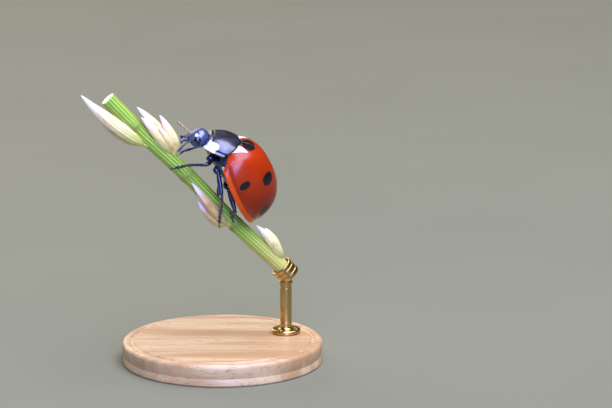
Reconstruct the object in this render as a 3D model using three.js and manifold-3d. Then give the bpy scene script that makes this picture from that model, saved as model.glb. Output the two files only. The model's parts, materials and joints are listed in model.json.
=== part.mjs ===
// A seven-spot ladybird at life size, climbing a short cut length of flowering grass that a small
// display stand holds up. Millimetres, +Z up, origin at the centre of the stand's underside.
//
// The insect is drawn in a frame of its own: +X to the head, +Y to its left side, +Z through its
// back. The grass is drawn in a frame on the stem's axis: `along` runs up the stem, `dorsal` is the
// side that the insect climbs on, and `left` is the insect's left.

import * as THREE from 'three';
import Module from 'manifold-3d';
import { ParametricGeometry } from 'three/addons/geometries/ParametricGeometry.js';
import { mergeVertices } from 'three/addons/utils/BufferGeometryUtils.js';

const wasm = await Module();
wasm.setup();

const { degToRad, lerp, smoothstep } = THREE.MathUtils;
const vec = ( x, y, z ) => new THREE.Vector3( x, y, z );

// ---------------------------------------------------------------- driving dimensions

const GAP = 0.03; // clearance left between pieces that touch
const FEELER_RADIUS = 0.25; // no limb or feeler is thinner than twice this

// Pose of the insect above the stand.
const HEADING = degToRad( - 158.1 );
const CLIMB = degToRad( 57.6 );
const ROLL = degToRad( - 24.8 );
const BODY_HEIGHT = 13.4;

// Wing cases: one dome, parted along the back.
const APEX_X = - 3.95;
const BASE_X = 1.75;
const WIDEST_X = - 0.35;
const HIGHEST_X = - 0.213;
const HALF_WIDTH = 2.72;
const DOME_HEIGHT = 3.29;
const SHOULDER_REACH = 2.48; // from the widest section to where the shoulders would close
const FRONT_REACH = 2.68; // from the highest section to where the front slope would reach the rim
const RIM_AT_APEX = 0.3;
const RIM_AT_BASE = 1.087;
const FRONT_SWEEP = 0.16; // how far the front edge comes forward beside the scutellum
const SHOULDER_ROUND = { from: degToRad( 58 ), depth: 0.62 }; // how the shoulder's corner is eased
const SECTION_POWER = { body: 2, front: 2.45 }; // squareness of the section, from the middle to the front
const WIDTH_POWER = { rear: 1.962, shoulder: 2.8 }; // squareness of the outline seen from above
const CROWN_POWER = 2.376; // squareness of the rear slope seen from the side
const RIM_POWER = 1.5; // 1 would be a straight side rim, more an upturned one
const SHELL = 0.5;

// Scutellum: a small triangle on a slope, measured from where the wing cases' bases meet.
const SCUTELLUM = {
	front: 0.02, back: 0.62, halfBase: 0.34, depth: 0.5, slope: degToRad( 30 ), height: 2.42,
};

// Underside of the body.
const WAIST_X = 0.08; // where the thorax meets the abdomen
const BELLY_FRONT = 0.1;
const BELLY_REAR = 0.16;
const KEEL_POWER = 1.2; // 1 would be a sharp keel, 2 a round one

// Pronotum: hind and front edges are arcs across the body, given by their crown and half-spans.
const PRONOTUM_HIND = { x: 1.79, centreZ: 1.2, rise: 1.37, span: 1.88, sweep: FRONT_SWEEP };
const PRONOTUM_FRONT = { x: 3.36, centreZ: 0.28, rise: 0.81, span: 1.28, sweep: - 0.26 };
const PRONOTUM_POWER = 2.5;
const PRONOTUM_BULGE = 0.2;
const PRONOTUM_LEAN = 0.45; // how far forward the bulge leans at the crown
const PRONOTUM_EDGE = degToRad( 86 );
const PRONOTUM_SHELL = 0.36;
const PROTHORAX_MARGIN = 0.06; // angle by which the forebody stops short of the pronotum's edge

// Head, tipped well down, with its parts placed round its centre.
const HEAD_CENTRE = vec( 3.44, 0, 0.22 );
const HEAD_TIP = degToRad( 64 );
const HEAD_SEMI_AXES = vec( 0.74, 0.8, 0.68 );
const EYE_CENTRE = vec( 3.5, 0.68, 0.13 );
const EYE_SEMI_AXES = vec( 0.34, 0.24, 0.36 );
const LABRUM_CENTRE = vec( 3.86, 0, - 0.52 );
const LABRUM_SEMI_AXES = vec( 0.25, 0.36, 0.25 );

// Antennae, base to tip, whose last part is a club, and the palps' outline.
const FEELER_CLUB = { from: 0.5, to: 0.75, stalkShare: 0.8 };
const FEELERS = {
	left: [ [ 3.72, 0.5, - 0.3 ], [ 3.8, 0.62, - 0.8 ], [ 3.56, 0.78, - 1.42 ] ],
	right: [ [ 3.85, - 0.5, - 0.2 ], [ 4.25, - 0.75, - 0.45 ], [ 4.87, - 1.1, - 0.75 ] ],
};
const PALP_ENDS = [ [ 3.84, 0.34, - 0.42 ], [ 4.02, 0.36, - 1 ] ];
const PALP = [ [ 0.15, 0.2 ], [ 0.6, 0.25 ], [ 0.9, 0.25 ] ];

// Legs, from hip to knee, ankle and toe; the second number counts outwards from the middle.
const LEGS = {
	front: {
		left: [ [ 1.78, 0.7, 0.33 ], [ 2.01, 1.7, - 0.04 ], [ 2.4, 0.95, - 1.44 ], [ 2.55, 0.66, - 2.72 ] ],
		right: [ [ 1.78, 0.7, 0.33 ], [ 2.15, 1.7, - 0.1 ], [ 2.75, 0.98, - 1.5 ], [ 3.0, 0.62, - 2.8 ] ],
	},
	middle: {
		left: [ [ 1, 1, 0.3 ], [ - 0.58, 1.9, - 0.25 ], [ - 2, 1.2, - 1.27 ], [ - 2.98, 0.64, - 1.97 ] ],
		right: [ [ 1, 1, 0.3 ], [ - 0.4, 1.9, - 0.3 ], [ - 1.6, 1.1, - 1.25 ], [ - 2.3, 0.66, - 1.75 ] ],
	},
	hind: {
		left: [ [ - 0.6, 0.9, 0.2 ], [ - 2.07, 1.9, 0 ], [ - 2.26, 1, - 0.5 ], [ - 3.18, 0.75, - 0.84 ] ],
		right: [ [ - 0.6, 0.9, 0.2 ], [ - 2.2, 1.85, 0 ], [ - 2.5, 1, - 0.5 ], [ - 3.4, 0.75, - 0.82 ] ],
	},
};
const FEMUR = [ [ 0.08, 0.2 ], [ 0.35, 0.3 ], [ 0.7, 0.29 ], [ 0.92, 0.2 ] ];
const TIBIA = [ [ 0.08, 0.16 ], [ 0.3, 0.25 ], [ 0.75, 0.25 ], [ 0.95, 0.2 ] ];
const TARSUS = [ [ 0.05, 0.16 ], [ 0.2, 0.24 ], [ 0.8, 0.25 ], [ 0.96, 0.14 ] ];

// Grass stem: a straight axis just under the insect's feet.
const STEM_ORIGIN = vec( 0, 0, - 1.739 );
const STEM_ALONG = vec( 0.976, 0, - 0.219 ).normalize();
const STEM_RADIUS = 0.58;
const STEM_TOP = 9.4;
const STEM_CUT = - 8.9;
const STEM_BOW = 0.06; // how far the stem steps from side to side at its joints
const STEM_JOINTS = 5.2; // length from one joint to the next

// Spikelets of the grass: each husk's base, tip and bow as [ along, dorsal, left ].
const HUSK = { middle: 0.45, rise: 0.75, fullness: 0.7 }; // outline, from base to tip
const SPIKELETS = {
	fore: [
		{ base: [ 2.9, 0.55, 0 ], tip: [ 6.1, 1.85, 0.1 ], halfWidth: 0.43, bow: [ 0, 0.22, 0 ] },
		{ base: [ 3.3, 0.6, - 0.1 ], tip: [ 7.6, 1.07, 0 ], halfWidth: 0.45, bow: [ 0, 0.2, 0 ] },
		{ base: [ 3.4, 0.5, 0.2 ], tip: [ 6.9, 0.85, 0.3 ], halfWidth: 0.42, bow: [ 0, 0.1, 0.1 ] },
	],
	aft: [
		{ base: [ - 8, 0.5, 0 ], tip: [ - 4.75, 0.95, 0 ], halfWidth: 0.42, bow: [ 0, 0.3, 0 ] },
		{ base: [ - 7.6, 0.55, - 0.1 ], tip: [ - 5.4, 1.25, - 0.1 ], halfWidth: 0.38, bow: [ 0, 0.15, 0 ] },
	],
	near: [
		{ base: [ - 3.1, - 0.3, 0.5 ], tip: [ 1.03, 0.15, 0.8 ], halfWidth: 0.4, bow: [ 0, - 0.1, 0.25 ] },
		{ base: [ - 3.2, - 0.5, 0.35 ], tip: [ - 0.4, - 0.6, 0.55 ], halfWidth: 0.42, bow: [ 0, - 0.2, 0 ] },
	],
	under: [
		{ base: [ 5.3, - 0.4, 0.45 ], tip: [ 11, - 1, 0.5 ], halfWidth: 0.56, bow: [ 0, - 0.2, 0.3 ] },
		{ base: [ 5.4, - 0.5, 0.3 ], tip: [ 9.4, - 1.45, 0.3 ], halfWidth: 0.46, bow: [ 0, - 0.3, 0.1 ] },
	],
};

// Stand.
const BASE_RADIUS = 7.2;
const BASE_THICKNESS = 1.6;
const BASE_EDGE = 0.3;
const ROD_RADIUS = 0.42;
const ROD_FLANGE = { radius: 1.05, height: 0.3, easing: 0.1 };
const FERRULE = { from: - 9.45, to: - 8.35, radius: 0.84, easing: 0.15 };

// Fineness of the facets.
const SHELL_ROWS = 16;
const SHELL_COLUMNS = 10;
const PRONOTUM_ROWS = 7;
const PRONOTUM_COLUMNS = 18;
const TRUNK_SIDES = 24;
const THORAX_ROWS = 6;
const ABDOMEN_ROWS = 12;
const PROTHORAX_ROWS = 5;
const LIMB_SIDES = 8;
const FEELER_STEPS = 8;
const HUSK_STEPS = 9;
const STEM_STEPS = 12;
const STEM_CURVE_SEGMENTS = 6;
const HEAD_FACETS = [ 16, 10 ]; // sides and rings
const EYE_FACETS = [ 12, 8 ];
const LABRUM_FACETS = [ 10, 6 ];
const BASE_SIDES = 42;
const ROD_SIDES = 16;
const FERRULE_SIDES = 20;

const SIDES = [ [ 1, 'left' ], [ - 1, 'right' ] ];

// ---------------------------------------------------------------- materials

/** A finish of one colour. */
function finish( color, roughness, metalness = 0 ) {

	return new THREE.MeshStandardMaterial( { color, roughness, metalness } );

}

const redShell = finish( '#c2270a', 0.22 );
const blackShell = finish( '#15171f', 0.25 );
const eyeLens = finish( '#07080c', 0.12 );
const greenStem = finish( '#7aa52f', 0.5 );
const strawHusk = finish( '#d8c3a4', 0.6 );
const wood = finish( '#c9a77c', 0.5 );
const brass = finish( '#b08d4c', 0.3, 1 );

// ---------------------------------------------------------------- making solids

/** Merges the doubled vertices of a closed surface, drops collapsed triangles, turns it outwards. */
function weld( geometry ) {

	const bare = geometry.clone();
	bare.deleteAttribute( 'normal' );
	bare.deleteAttribute( 'uv' );
	const merged = mergeVertices( bare );
	const corners = merged.getIndex().array;
	const kept = [];
	for ( let i = 0; i < corners.length; i += 3 ) {

		const [ a, b, c ] = corners.slice( i, i + 3 );
		if ( a !== b && b !== c && c !== a ) kept.push( a, b, c );

	}

	merged.setIndex( enclosedVolume( merged, kept ) < 0 ? kept.reverse() : kept );
	return merged;

}

/** Six times the signed volume inside the triangles whose corners are listed. */
function enclosedVolume( geometry, corners ) {

	const points = geometry.getAttribute( 'position' );
	const [ a, b, c ] = [ vec(), vec(), vec() ];
	let sum = 0;
	for ( let i = 0; i < corners.length; i += 3 ) {

		a.fromBufferAttribute( points, corners[ i ] );
		b.fromBufferAttribute( points, corners[ i + 1 ] );
		c.fromBufferAttribute( points, corners[ i + 2 ] );
		sum += a.dot( b.cross( c ) );

	}

	return sum;

}

/** A closed surface from pointAt( turn, length, target ), which comes round at turn = 1. */
function closedSurface( pointAt, around, along ) {

	const place = ( u, v, target ) => pointAt( u % 1, v, target );
	return weld( new ParametricGeometry( place, around, along ) );

}

/** The welded geometry as a solid that can be joined and cut. */
function toSolid( geometry ) {

	const vertProperties = new Float32Array( geometry.getAttribute( 'position' ).array );
	const triVerts = new Uint32Array( geometry.getIndex().array );
	return new wasm.Manifold( new wasm.Mesh( { numProp: 3, vertProperties, triVerts } ) );

}

/** The surface of a solid. */
function toGeometry( solid ) {

	const mesh = solid.getMesh();
	const geometry = new THREE.BufferGeometry();
	geometry.setAttribute( 'position', new THREE.BufferAttribute( mesh.vertProperties, 3 ) );
	geometry.setIndex( new THREE.BufferAttribute( mesh.triVerts, 1 ) );
	return geometry;

}

/** The first piece with the others cut out of it. */
function cutBy( geometry, cutters ) {

	let solid = toSolid( geometry );
	for ( const cutter of cutters ) solid = solid.subtract( toSolid( cutter ) );
	return toGeometry( solid );

}

/** Several pieces joined to one. */
function joined( geometries ) {

	let solid = toSolid( geometries[ 0 ] );
	for ( const geometry of geometries.slice( 1 ) ) solid = solid.add( toSolid( geometry ) );
	return toGeometry( solid );

}

/** An ellipsoid about a centre, tipped forwards as the head is. */
function ellipsoid( centre, semiAxes, grow, [ sides, rings ] ) {

	const ball = new THREE.SphereGeometry( 1, sides, rings );
	ball.scale( semiAxes.x + grow, semiAxes.y + grow, semiAxes.z + grow );
	ball.rotateY( HEAD_TIP );
	return weld( ball ).translate( centre.x, centre.y, centre.z );

}

/** A turned body about an axis from the origin; outline lists [ radius, distance along it ]. */
function turned( outline, sides, axis ) {

	const body = new THREE.LatheGeometry( outline.map( ( p ) => new THREE.Vector2( ...p ) ), sides );
	return weld( body ).applyQuaternion( new THREE.Quaternion().setFromUnitVectors( vec( 0, 1, 0 ), axis ) );

}

/** A round spindle from one point to another; profile lists [ share of the length, radius ]. */
function spindle( from, to, profile, grow = 0 ) {

	const axis = to.clone().sub( from );
	const length = axis.length();
	const outline = profile.map( ( [ share, radius ] ) => [ radius + grow, share * length ] );
	const ends = [ [ 0, - grow ], [ 0, length + grow ] ];
	const body = turned( [ ends[ 0 ], ...outline, ends[ 1 ] ], LIMB_SIDES, axis.normalize() );
	return body.translate( from.x, from.y, from.z );

}

/** A tapering tube along a curve that closes to a point at both ends. */
function taperedTube( curve, radiusAt, steps ) {

	const frames = curve.computeFrenetFrames( steps, false );
	return closedSurface( ( turn, length, target ) => {

		const i = Math.round( length * steps );
		const angle = turn * Math.PI * 2;
		const radius = i === 0 || i === steps ? 0 : radiusAt( length );
		const offset = frames.normals[ i ].clone().multiplyScalar( radius * Math.cos( angle ) );
		offset.addScaledVector( frames.binormals[ i ], radius * Math.sin( angle ) );
		target.copy( curve.getPoint( length ) ).add( offset );

	}, LIMB_SIDES, steps );

}

// ---------------------------------------------------------------- groups

const insect = new THREE.Group();
insect.position.set( 0, 0, BODY_HEIGHT );
insect.rotation.set( ROLL, - CLIMB, HEADING, 'ZYX' );
insect.updateMatrix();

const ladybird = new THREE.Group();
ladybird.add( insect );

/** Adds one named piece to a group. */
function add( group, name, geometry, material ) {

	const mesh = new THREE.Mesh( geometry, material );
	mesh.name = name;
	group.add( mesh );
	return mesh;

}

// ---------------------------------------------------------------- wing cases

/** Half the width of the wing cases at a section. */
function halfWidth( x ) {

	if ( x < WIDEST_X ) {

		const reach = ( WIDEST_X - x ) / ( WIDEST_X - APEX_X );
		return HALF_WIDTH * Math.sqrt( Math.max( 1 - reach ** WIDTH_POWER.rear, 0 ) );

	}

	const reach = ( x - WIDEST_X ) / SHOULDER_REACH;
	const power = WIDTH_POWER.shoulder;
	return HALF_WIDTH * ( 1 - reach ** power ) ** ( 1 / power );

}

/** Height of the side rim, which rises towards the shoulders. */
function rimHeight( x ) {

	const share = Math.max( ( x - APEX_X ) / ( BASE_X - APEX_X ), 0 );
	return lerp( RIM_AT_APEX, RIM_AT_BASE, share ** RIM_POWER );

}

/** Height of the dome's crown above its side rim. */
function crownHeight( x ) {

	const front = ( x - HIGHEST_X ) / FRONT_REACH;
	const rear = ( HIGHEST_X - x ) / ( HIGHEST_X - APEX_X );
	const full = x < HIGHEST_X
		? DOME_HEIGHT * Math.max( 1 - rear ** CROWN_POWER, 0 ) ** ( 1 / CROWN_POWER )
		: DOME_HEIGHT * Math.sqrt( 1 - front ** 2 );
	return Math.max( full - ( rimHeight( x ) - RIM_AT_APEX ), 0 );

}

/** A sine or cosine drawn out so that the section it makes is squarer than a circle. */
function rounded( value, power ) {

	return Math.sign( value ) * Math.abs( value ) ** ( 2 / power );

}

/** A point of the dome; angle is measured from the crown, and inset shrinks the dome evenly. */
function domePoint( x, angle, inset, target ) {

	const shrink = ( full ) => 1 - inset / full;
	const power = lerp( SECTION_POWER.body, SECTION_POWER.front, smoothstep( x, WIDEST_X, BASE_X ) );
	return target.set(
		BASE_X + ( x - BASE_X ) * shrink( BASE_X - APEX_X ),
		halfWidth( x ) * rounded( Math.sin( angle ), power ) * shrink( HALF_WIDTH ),
		rimHeight( x ) + crownHeight( x ) * rounded( Math.cos( angle ), power ) * shrink( DOME_HEIGHT )
	);

}

/** Front edge of the wing cases at an angle from the crown. */
function frontX( angle ) {

	const { from, depth } = SHOULDER_ROUND;
	const corner = Math.max( angle - from, 0 ) / ( Math.PI / 2 - from );
	return BASE_X + FRONT_SWEEP * Math.sin( angle ) ** 2 - depth * corner ** 2;

}

/** Stations along the wing cases at an angle from the crown, closer together near the tip. */
function stationX( share, angle ) {

	return lerp( frontX( angle ), APEX_X, Math.sin( share * Math.PI / 2 ) );

}

/**
 * A closed plate between an outer and an inner face. pointAt( share, across, inset, target ) gives
 * both; the section runs out over the outer face and back under the inner one, and the first and
 * last rows close the ends.
 */
function plate( pointAt, thickness, columns, rows ) {

	const count = 2 * ( columns + 1 );
	return closedSurface( ( turn, length, target ) => {

		const column = Math.round( turn * count );
		const row = Math.round( length * ( rows + 2 ) );
		const outer = column <= columns;
		const share = THREE.MathUtils.clamp( ( row - 1 ) / rows, 0, 1 );
		const across = ( outer ? column : count - 1 - column ) / columns;
		const inset = outer && row > 0 && row < rows + 2 ? 0 : thickness;
		pointAt( share, across, inset, target );

	}, count, rows + 2 );

}

/** One wing case, a bowed shell with its straight inner edge along the middle of the back. */
function elytron( side ) {

	return plate( ( share, across, inset, target ) => {

		const angle = across * Math.PI / 2;
		domePoint( stationX( share, angle ), angle, inset, target );
		target.y = side * ( target.y + GAP / 2 );

	}, SHELL, SHELL_COLUMNS, SHELL_ROWS );

}

/** The small triangle between the wing cases at the pronotum's hind edge. */
function scutellum( grow = 0 ) {

	const front = SCUTELLUM.front - grow;
	const back = SCUTELLUM.back + 2 * grow;
	const halfBase = SCUTELLUM.halfBase + grow;
	const depth = SCUTELLUM.depth + 2 * grow;
	const outline = new THREE.Shape();
	outline.moveTo( - front, - halfBase );
	outline.lineTo( - front, halfBase );
	outline.lineTo( - back, 0 );
	const wedge = new THREE.ExtrudeGeometry( outline, { depth, bevelEnabled: false } );
	wedge.translate( 0, 0, - depth / 2 );
	wedge.rotateY( SCUTELLUM.slope );
	return weld( wedge ).translate( BASE_X, 0, SCUTELLUM.height );

}

for ( const [ side, word ] of SIDES ) {

	add( insect, `elytron_${ word }`, cutBy( elytron( side ), [ scutellum( GAP ) ] ), redShell );

}

add( insect, 'scutellum', scutellum(), blackShell );

// ---------------------------------------------------------------- pronotum

/** A point on an arc across the body; angle is measured from the crown. */
function arcPoint( arc, angle ) {

	const x = arc.x + arc.sweep * Math.sin( angle ) ** 2;
	const [ y, z ] = [ Math.sin( angle ), Math.cos( angle ) ].map( ( v ) => rounded( v, PRONOTUM_POWER ) );
	return vec( x, arc.span * y, arc.centreZ + arc.rise * z );

}

/** A point of the pronotum: angle across from the crown, share from its hind to its front edge. */
function pronotumPoint( share, angle, inset, target ) {

	const hind = arcPoint( PRONOTUM_HIND, angle );
	const front = arcPoint( PRONOTUM_FRONT, angle );
	target.lerpVectors( hind, front, share );
	const outwards = vec( PRONOTUM_LEAN * Math.cos( angle ), Math.sin( angle ), Math.cos( angle ) );
	const bulge = PRONOTUM_BULGE * Math.sin( Math.PI * share );
	target.addScaledVector( outwards.normalize(), bulge - inset );
	return target.setX( Math.max( target.x, hind.x ) );

}

/** The shield behind the head, a plate bowed across and along. */
function pronotum( grow = 0 ) {

	const reach = PRONOTUM_EDGE + grow / PRONOTUM_HIND.span;
	return plate( ( share, across, inset, target ) => {

		const stretched = lerp( - grow / 2, 1 + grow / 2, share );
		pronotumPoint( stretched, lerp( - reach, reach, across ), inset - grow, target );

	}, PRONOTUM_SHELL + 2 * grow, PRONOTUM_COLUMNS, PRONOTUM_ROWS );

}

add( insect, 'pronotum', pronotum(), blackShell );

// ---------------------------------------------------------------- trunk

/** Height of the underside's middle line at a section. */
function bellyHeight( x ) {

	const share = THREE.MathUtils.clamp( ( BASE_X - x ) / ( BASE_X - APEX_X ), 0, 1 );
	return lerp( BELLY_FRONT, BELLY_REAR, share );

}

/** Share of the keel's depth at a share of its half-width. */
function keel( share ) {

	return Math.max( 1 - share ** KEEL_POWER, 0 ) ** ( 1 / KEEL_POWER );

}

/** The trunk between two sections: it fills the dome above and is a shallow keel below. */
function trunk( fromX, toX, rows, grow = 0 ) {

	return closedSurface( ( turn, length, target ) => {

		const row = Math.round( length * ( rows + 2 ) );
		const share = THREE.MathUtils.clamp( ( row - 1 ) / rows, 0, 1 );
		const x = lerp( fromX + grow, toX, Math.sin( share * Math.PI / 2 ) );
		const angle = turn * Math.PI * 2;
		const rim = rimHeight( x );
		domePoint( x, angle, SHELL + GAP - grow, target );
		const depth = rim - bellyHeight( x ) + grow;
		if ( Math.cos( angle ) < 0 ) target.z = rim - depth * keel( Math.abs( Math.sin( angle ) ) );
		if ( row === 0 || row === rows + 2 ) target.set( target.x, 0, rim );

	}, TRUNK_SIDES, rows + 2 );

}

/** The underside of the forebody, hung below the pronotum. */
function prothorax( grow = 0 ) {

	const rows = PROTHORAX_ROWS;
	const reach = PRONOTUM_EDGE - PROTHORAX_MARGIN + grow;
	const inset = PRONOTUM_SHELL + GAP - grow;
	return closedSurface( ( turn, length, target ) => {

		const row = Math.round( length * ( rows + 2 ) );
		const share = THREE.MathUtils.clamp( ( row - 1 ) / rows, 0, 1 );
		const edge = pronotumPoint( share, reach, inset, vec() );
		const above = turn < 0.5;
		if ( row === 0 || row === rows + 2 ) target.set( edge.x, 0, edge.z );
		else if ( above ) pronotumPoint( share, reach * ( 1 - 4 * turn ), inset, target );
		else {

			const across = - Math.cos( ( turn - 0.5 ) * 2 * Math.PI );
			const depth = edge.z - BELLY_FRONT + grow;
			target.set( edge.x, edge.y * across, edge.z - depth * keel( Math.abs( across ) ) );

		}

	}, TRUNK_SIDES, rows + 2 );

}

/** The head without what is set into it or lies over it. */
function skull( grow = 0 ) {

	return ellipsoid( HEAD_CENTRE, HEAD_SEMI_AXES, grow, HEAD_FACETS );

}

/** An eye, a bowed lens on the side of the head. */
function eye( side, grow = 0 ) {

	const centre = EYE_CENTRE.clone().setY( side * EYE_CENTRE.y );
	return ellipsoid( centre, EYE_SEMI_AXES, grow, EYE_FACETS );

}

const thorax = ( grow ) => trunk( BASE_X - GAP, WAIST_X + GAP, THORAX_ROWS, grow );
const abdomen = ( grow ) => trunk( WAIST_X - GAP, APEX_X, ABDOMEN_ROWS, grow );
const labrum = ( grow ) => ellipsoid( LABRUM_CENTRE, LABRUM_SEMI_AXES, grow, LABRUM_FACETS );

add( insect, 'thorax', cutBy( thorax( 0 ), [ scutellum( GAP ) ] ), blackShell );
add( insect, 'abdomen', abdomen( 0 ), blackShell );
add( insect, 'prothorax', cutBy( prothorax(), [ skull( GAP ) ] ), blackShell );

// ---------------------------------------------------------------- head

const eyeSockets = SIDES.map( ( [ side ] ) => eye( side, GAP ) );
add( insect, 'head', cutBy( skull(), [ pronotum( GAP ), ...eyeSockets ] ), blackShell );
add( insect, 'labrum', cutBy( labrum( 0 ), [ skull( GAP ) ] ), blackShell );

for ( const [ side, word ] of SIDES ) {

	const [ base, bend, tip ] = FEELERS[ word ].map( ( p ) => vec( ...p ) );
	const curve = new THREE.QuadraticBezierCurve3( base, bend, tip );
	const { from, to, stalkShare } = FEELER_CLUB;
	const clubbed = ( length ) => lerp( stalkShare, 1, smoothstep( length, from, to ) ) * FEELER_RADIUS;
	const antenna = taperedTube( curve, clubbed, FEELER_STEPS );
	const palp = spindle( ...PALP_ENDS.map( ( [ x, y, z ] ) => vec( x, side * y, z ) ), PALP );
	const neighbours = [ skull( GAP ), labrum( GAP ), eye( side, GAP ) ];
	add( insect, `eye_${ word }`, cutBy( eye( side ), [ pronotum( GAP ), prothorax( GAP ) ] ), eyeLens );
	add( insect, `antenna_${ word }`, cutBy( antenna, neighbours ), blackShell );
	add( insect, `palp_${ word }`, cutBy( palp, [ ...neighbours, antenna ] ), blackShell );

}

// ---------------------------------------------------------------- grass

/** A point in the grass's own frame. */
function stemPoint( along, dorsal, left ) {

	const up = vec( 0, 1, 0 ).cross( STEM_ALONG ).negate();
	return STEM_ORIGIN.clone().addScaledVector( STEM_ALONG, along )
		.addScaledVector( up, dorsal ).add( vec( 0, left, 0 ) );

}

/** The stem, a rod that steps a little from side to side at its joints. */
function stem( grow = 0 ) {

	const points = [];
	let step = STEM_BOW;
	for ( let along = STEM_CUT - grow; along < STEM_TOP; along += STEM_JOINTS ) {

		points.push( stemPoint( along, step, 0 ) );
		step = - step;

	}

	points.push( stemPoint( STEM_TOP + grow, 0, 0 ) );
	const section = new THREE.Shape().absarc( 0, 0, STEM_RADIUS + grow, 0, Math.PI * 2 );
	const extrudePath = new THREE.CatmullRomCurve3( points );
	return weld( new THREE.ExtrudeGeometry( section, {
		steps: STEM_STEPS, curveSegments: STEM_CURVE_SEGMENTS, extrudePath,
	} ) );

}

/** One husk of a spikelet, a flattened bud with a drawn-out tip, bowed away from the stem. */
function floret( { base, tip, halfWidth, bow }, grow = 0 ) {

	const [ from, to ] = [ stemPoint( ...base ), stemPoint( ...tip ) ];
	const middle = from.clone().lerp( to, HUSK.middle ).add( stemPoint( ...bow ) ).sub( STEM_ORIGIN );
	const curve = new THREE.QuadraticBezierCurve3( from, middle, to );
	const bud = ( share ) => halfWidth * Math.sin( Math.PI * share ** HUSK.rise ) ** HUSK.fullness + grow;
	return taperedTube( curve, bud, HUSK_STEPS );

}

/** A spikelet: its husks joined to one piece. */
function spikelet( florets, grow = 0 ) {

	return joined( florets.map( ( husk ) => floret( husk, grow ) ) );

}

add( insect, 'perch_stem', stem(), greenStem );
for ( const [ name, florets ] of Object.entries( SPIKELETS ) ) {

	add( insect, `perch_spikelet_${ name }`, cutBy( spikelet( florets ), [ stem( GAP ) ] ), strawHusk );

}

// ---------------------------------------------------------------- legs

const trunkCutters = [ thorax( GAP ), abdomen( GAP ), prothorax( GAP ) ];
const perchCutters = [ stem( GAP ), ...Object.values( SPIKELETS ).map( ( s ) => spikelet( s, GAP ) ) ];

for ( const [ pair, joints ] of Object.entries( LEGS ) ) {

	for ( const [ side, word ] of SIDES ) {

		const [ hip, knee, ankle, toe ] = joints[ word ].map( ( [ x, y, z ] ) => vec( x, side * y, z ) );
		const femur = ( grow ) => spindle( hip, knee, FEMUR, grow );
		const tibia = ( grow ) => spindle( knee, ankle, TIBIA, grow );
		const tarsus = spindle( ankle, toe, TARSUS );
		const name = `leg_${ pair }_${ word }`;
		add( insect, `${ name }_femur`, cutBy( femur( 0 ), trunkCutters ), blackShell );
		add( insect, `${ name }_tibia`, cutBy( tibia( 0 ), [ femur( GAP ), ...trunkCutters ] ), blackShell );
		add( insect, `${ name }_tarsus`, cutBy( tarsus, [ tibia( GAP ), ...perchCutters ] ), blackShell );

	}

}

// ---------------------------------------------------------------- stand

/** The ferrule that the stem's cut end stands in, closed below. */
function ferrule( grow = 0 ) {

	const bore = STEM_RADIUS + GAP * 2;
	const depth = STEM_CUT - GAP - FERRULE.from;
	const length = FERRULE.to - FERRULE.from;
	const outer = FERRULE.radius + grow;
	const outline = grow > 0
		? [ [ 0, - grow ], [ outer, - grow ], [ outer, length + grow ], [ 0, length + grow ] ]
		: [ [ 0, 0 ], [ outer - FERRULE.easing, 0 ], [ outer, FERRULE.easing ], [ outer, length ],
			[ bore, length ], [ bore, depth ], [ 0, depth ] ];
	const cup = turned( outline, FERRULE_SIDES, STEM_ALONG );
	const foot = stemPoint( FERRULE.from, STEM_BOW, 0 );
	return cup.translate( foot.x, foot.y, foot.z ).applyMatrix4( insect.matrix );

}

/** The round base, flat below, with eased edges. */
function base() {

	const outline = [
		[ 0, 0 ], [ BASE_RADIUS - BASE_EDGE / 2, 0 ], [ BASE_RADIUS, BASE_EDGE / 2 ],
		[ BASE_RADIUS, BASE_THICKNESS - BASE_EDGE ], [ BASE_RADIUS - BASE_EDGE, BASE_THICKNESS ],
		[ 0, BASE_THICKNESS ],
	];
	return turned( outline, BASE_SIDES, vec( 0, 0, 1 ) );

}

/** The upright rod on its round flange, from the base up to the ferrule. */
function rod() {

	const ferruleMiddle = stemPoint( ( FERRULE.from + FERRULE.to ) / 2, STEM_BOW, 0 );
	ferruleMiddle.applyMatrix4( insect.matrix );
	const foot = BASE_THICKNESS + GAP;
	const flangeTop = foot + ROD_FLANGE.height;
	const outline = [
		[ 0, foot ], [ ROD_FLANGE.radius, foot ], [ ROD_FLANGE.radius, flangeTop - ROD_FLANGE.easing ],
		[ ROD_FLANGE.radius - ROD_FLANGE.easing, flangeTop ], [ ROD_RADIUS, flangeTop ],
		[ ROD_RADIUS, ferruleMiddle.z ], [ 0, ferruleMiddle.z ],
	];
	const upright = turned( outline, ROD_SIDES, vec( 0, 0, 1 ) );
	return cutBy( upright.translate( ferruleMiddle.x, ferruleMiddle.y, 0 ), [ ferrule( GAP ) ] );

}

add( ladybird, 'stand_ferrule', ferrule(), brass );
add( ladybird, 'stand_rod', rod(), brass );
add( ladybird, 'stand_base', base(), wood );

export default ladybird;
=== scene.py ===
"""A seven-spot ladybird at life size, dressed for its final look on a cut length of flowering grass.

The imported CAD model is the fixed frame, and each class below builds one sub-assembly over its nodes.
The insect and the grass are drawn in millimetres in the insect's own frame, with +X to the head, +Y to
its left and +Z through its back. The stand is drawn in millimetres in the row frame.
"""

import json
import logging
import math
from collections.abc import Callable, Sequence
from dataclasses import dataclass
from enum import Enum

import bmesh
import bpy
import numpy as np
from mathutils import Euler, Matrix, Vector

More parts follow.
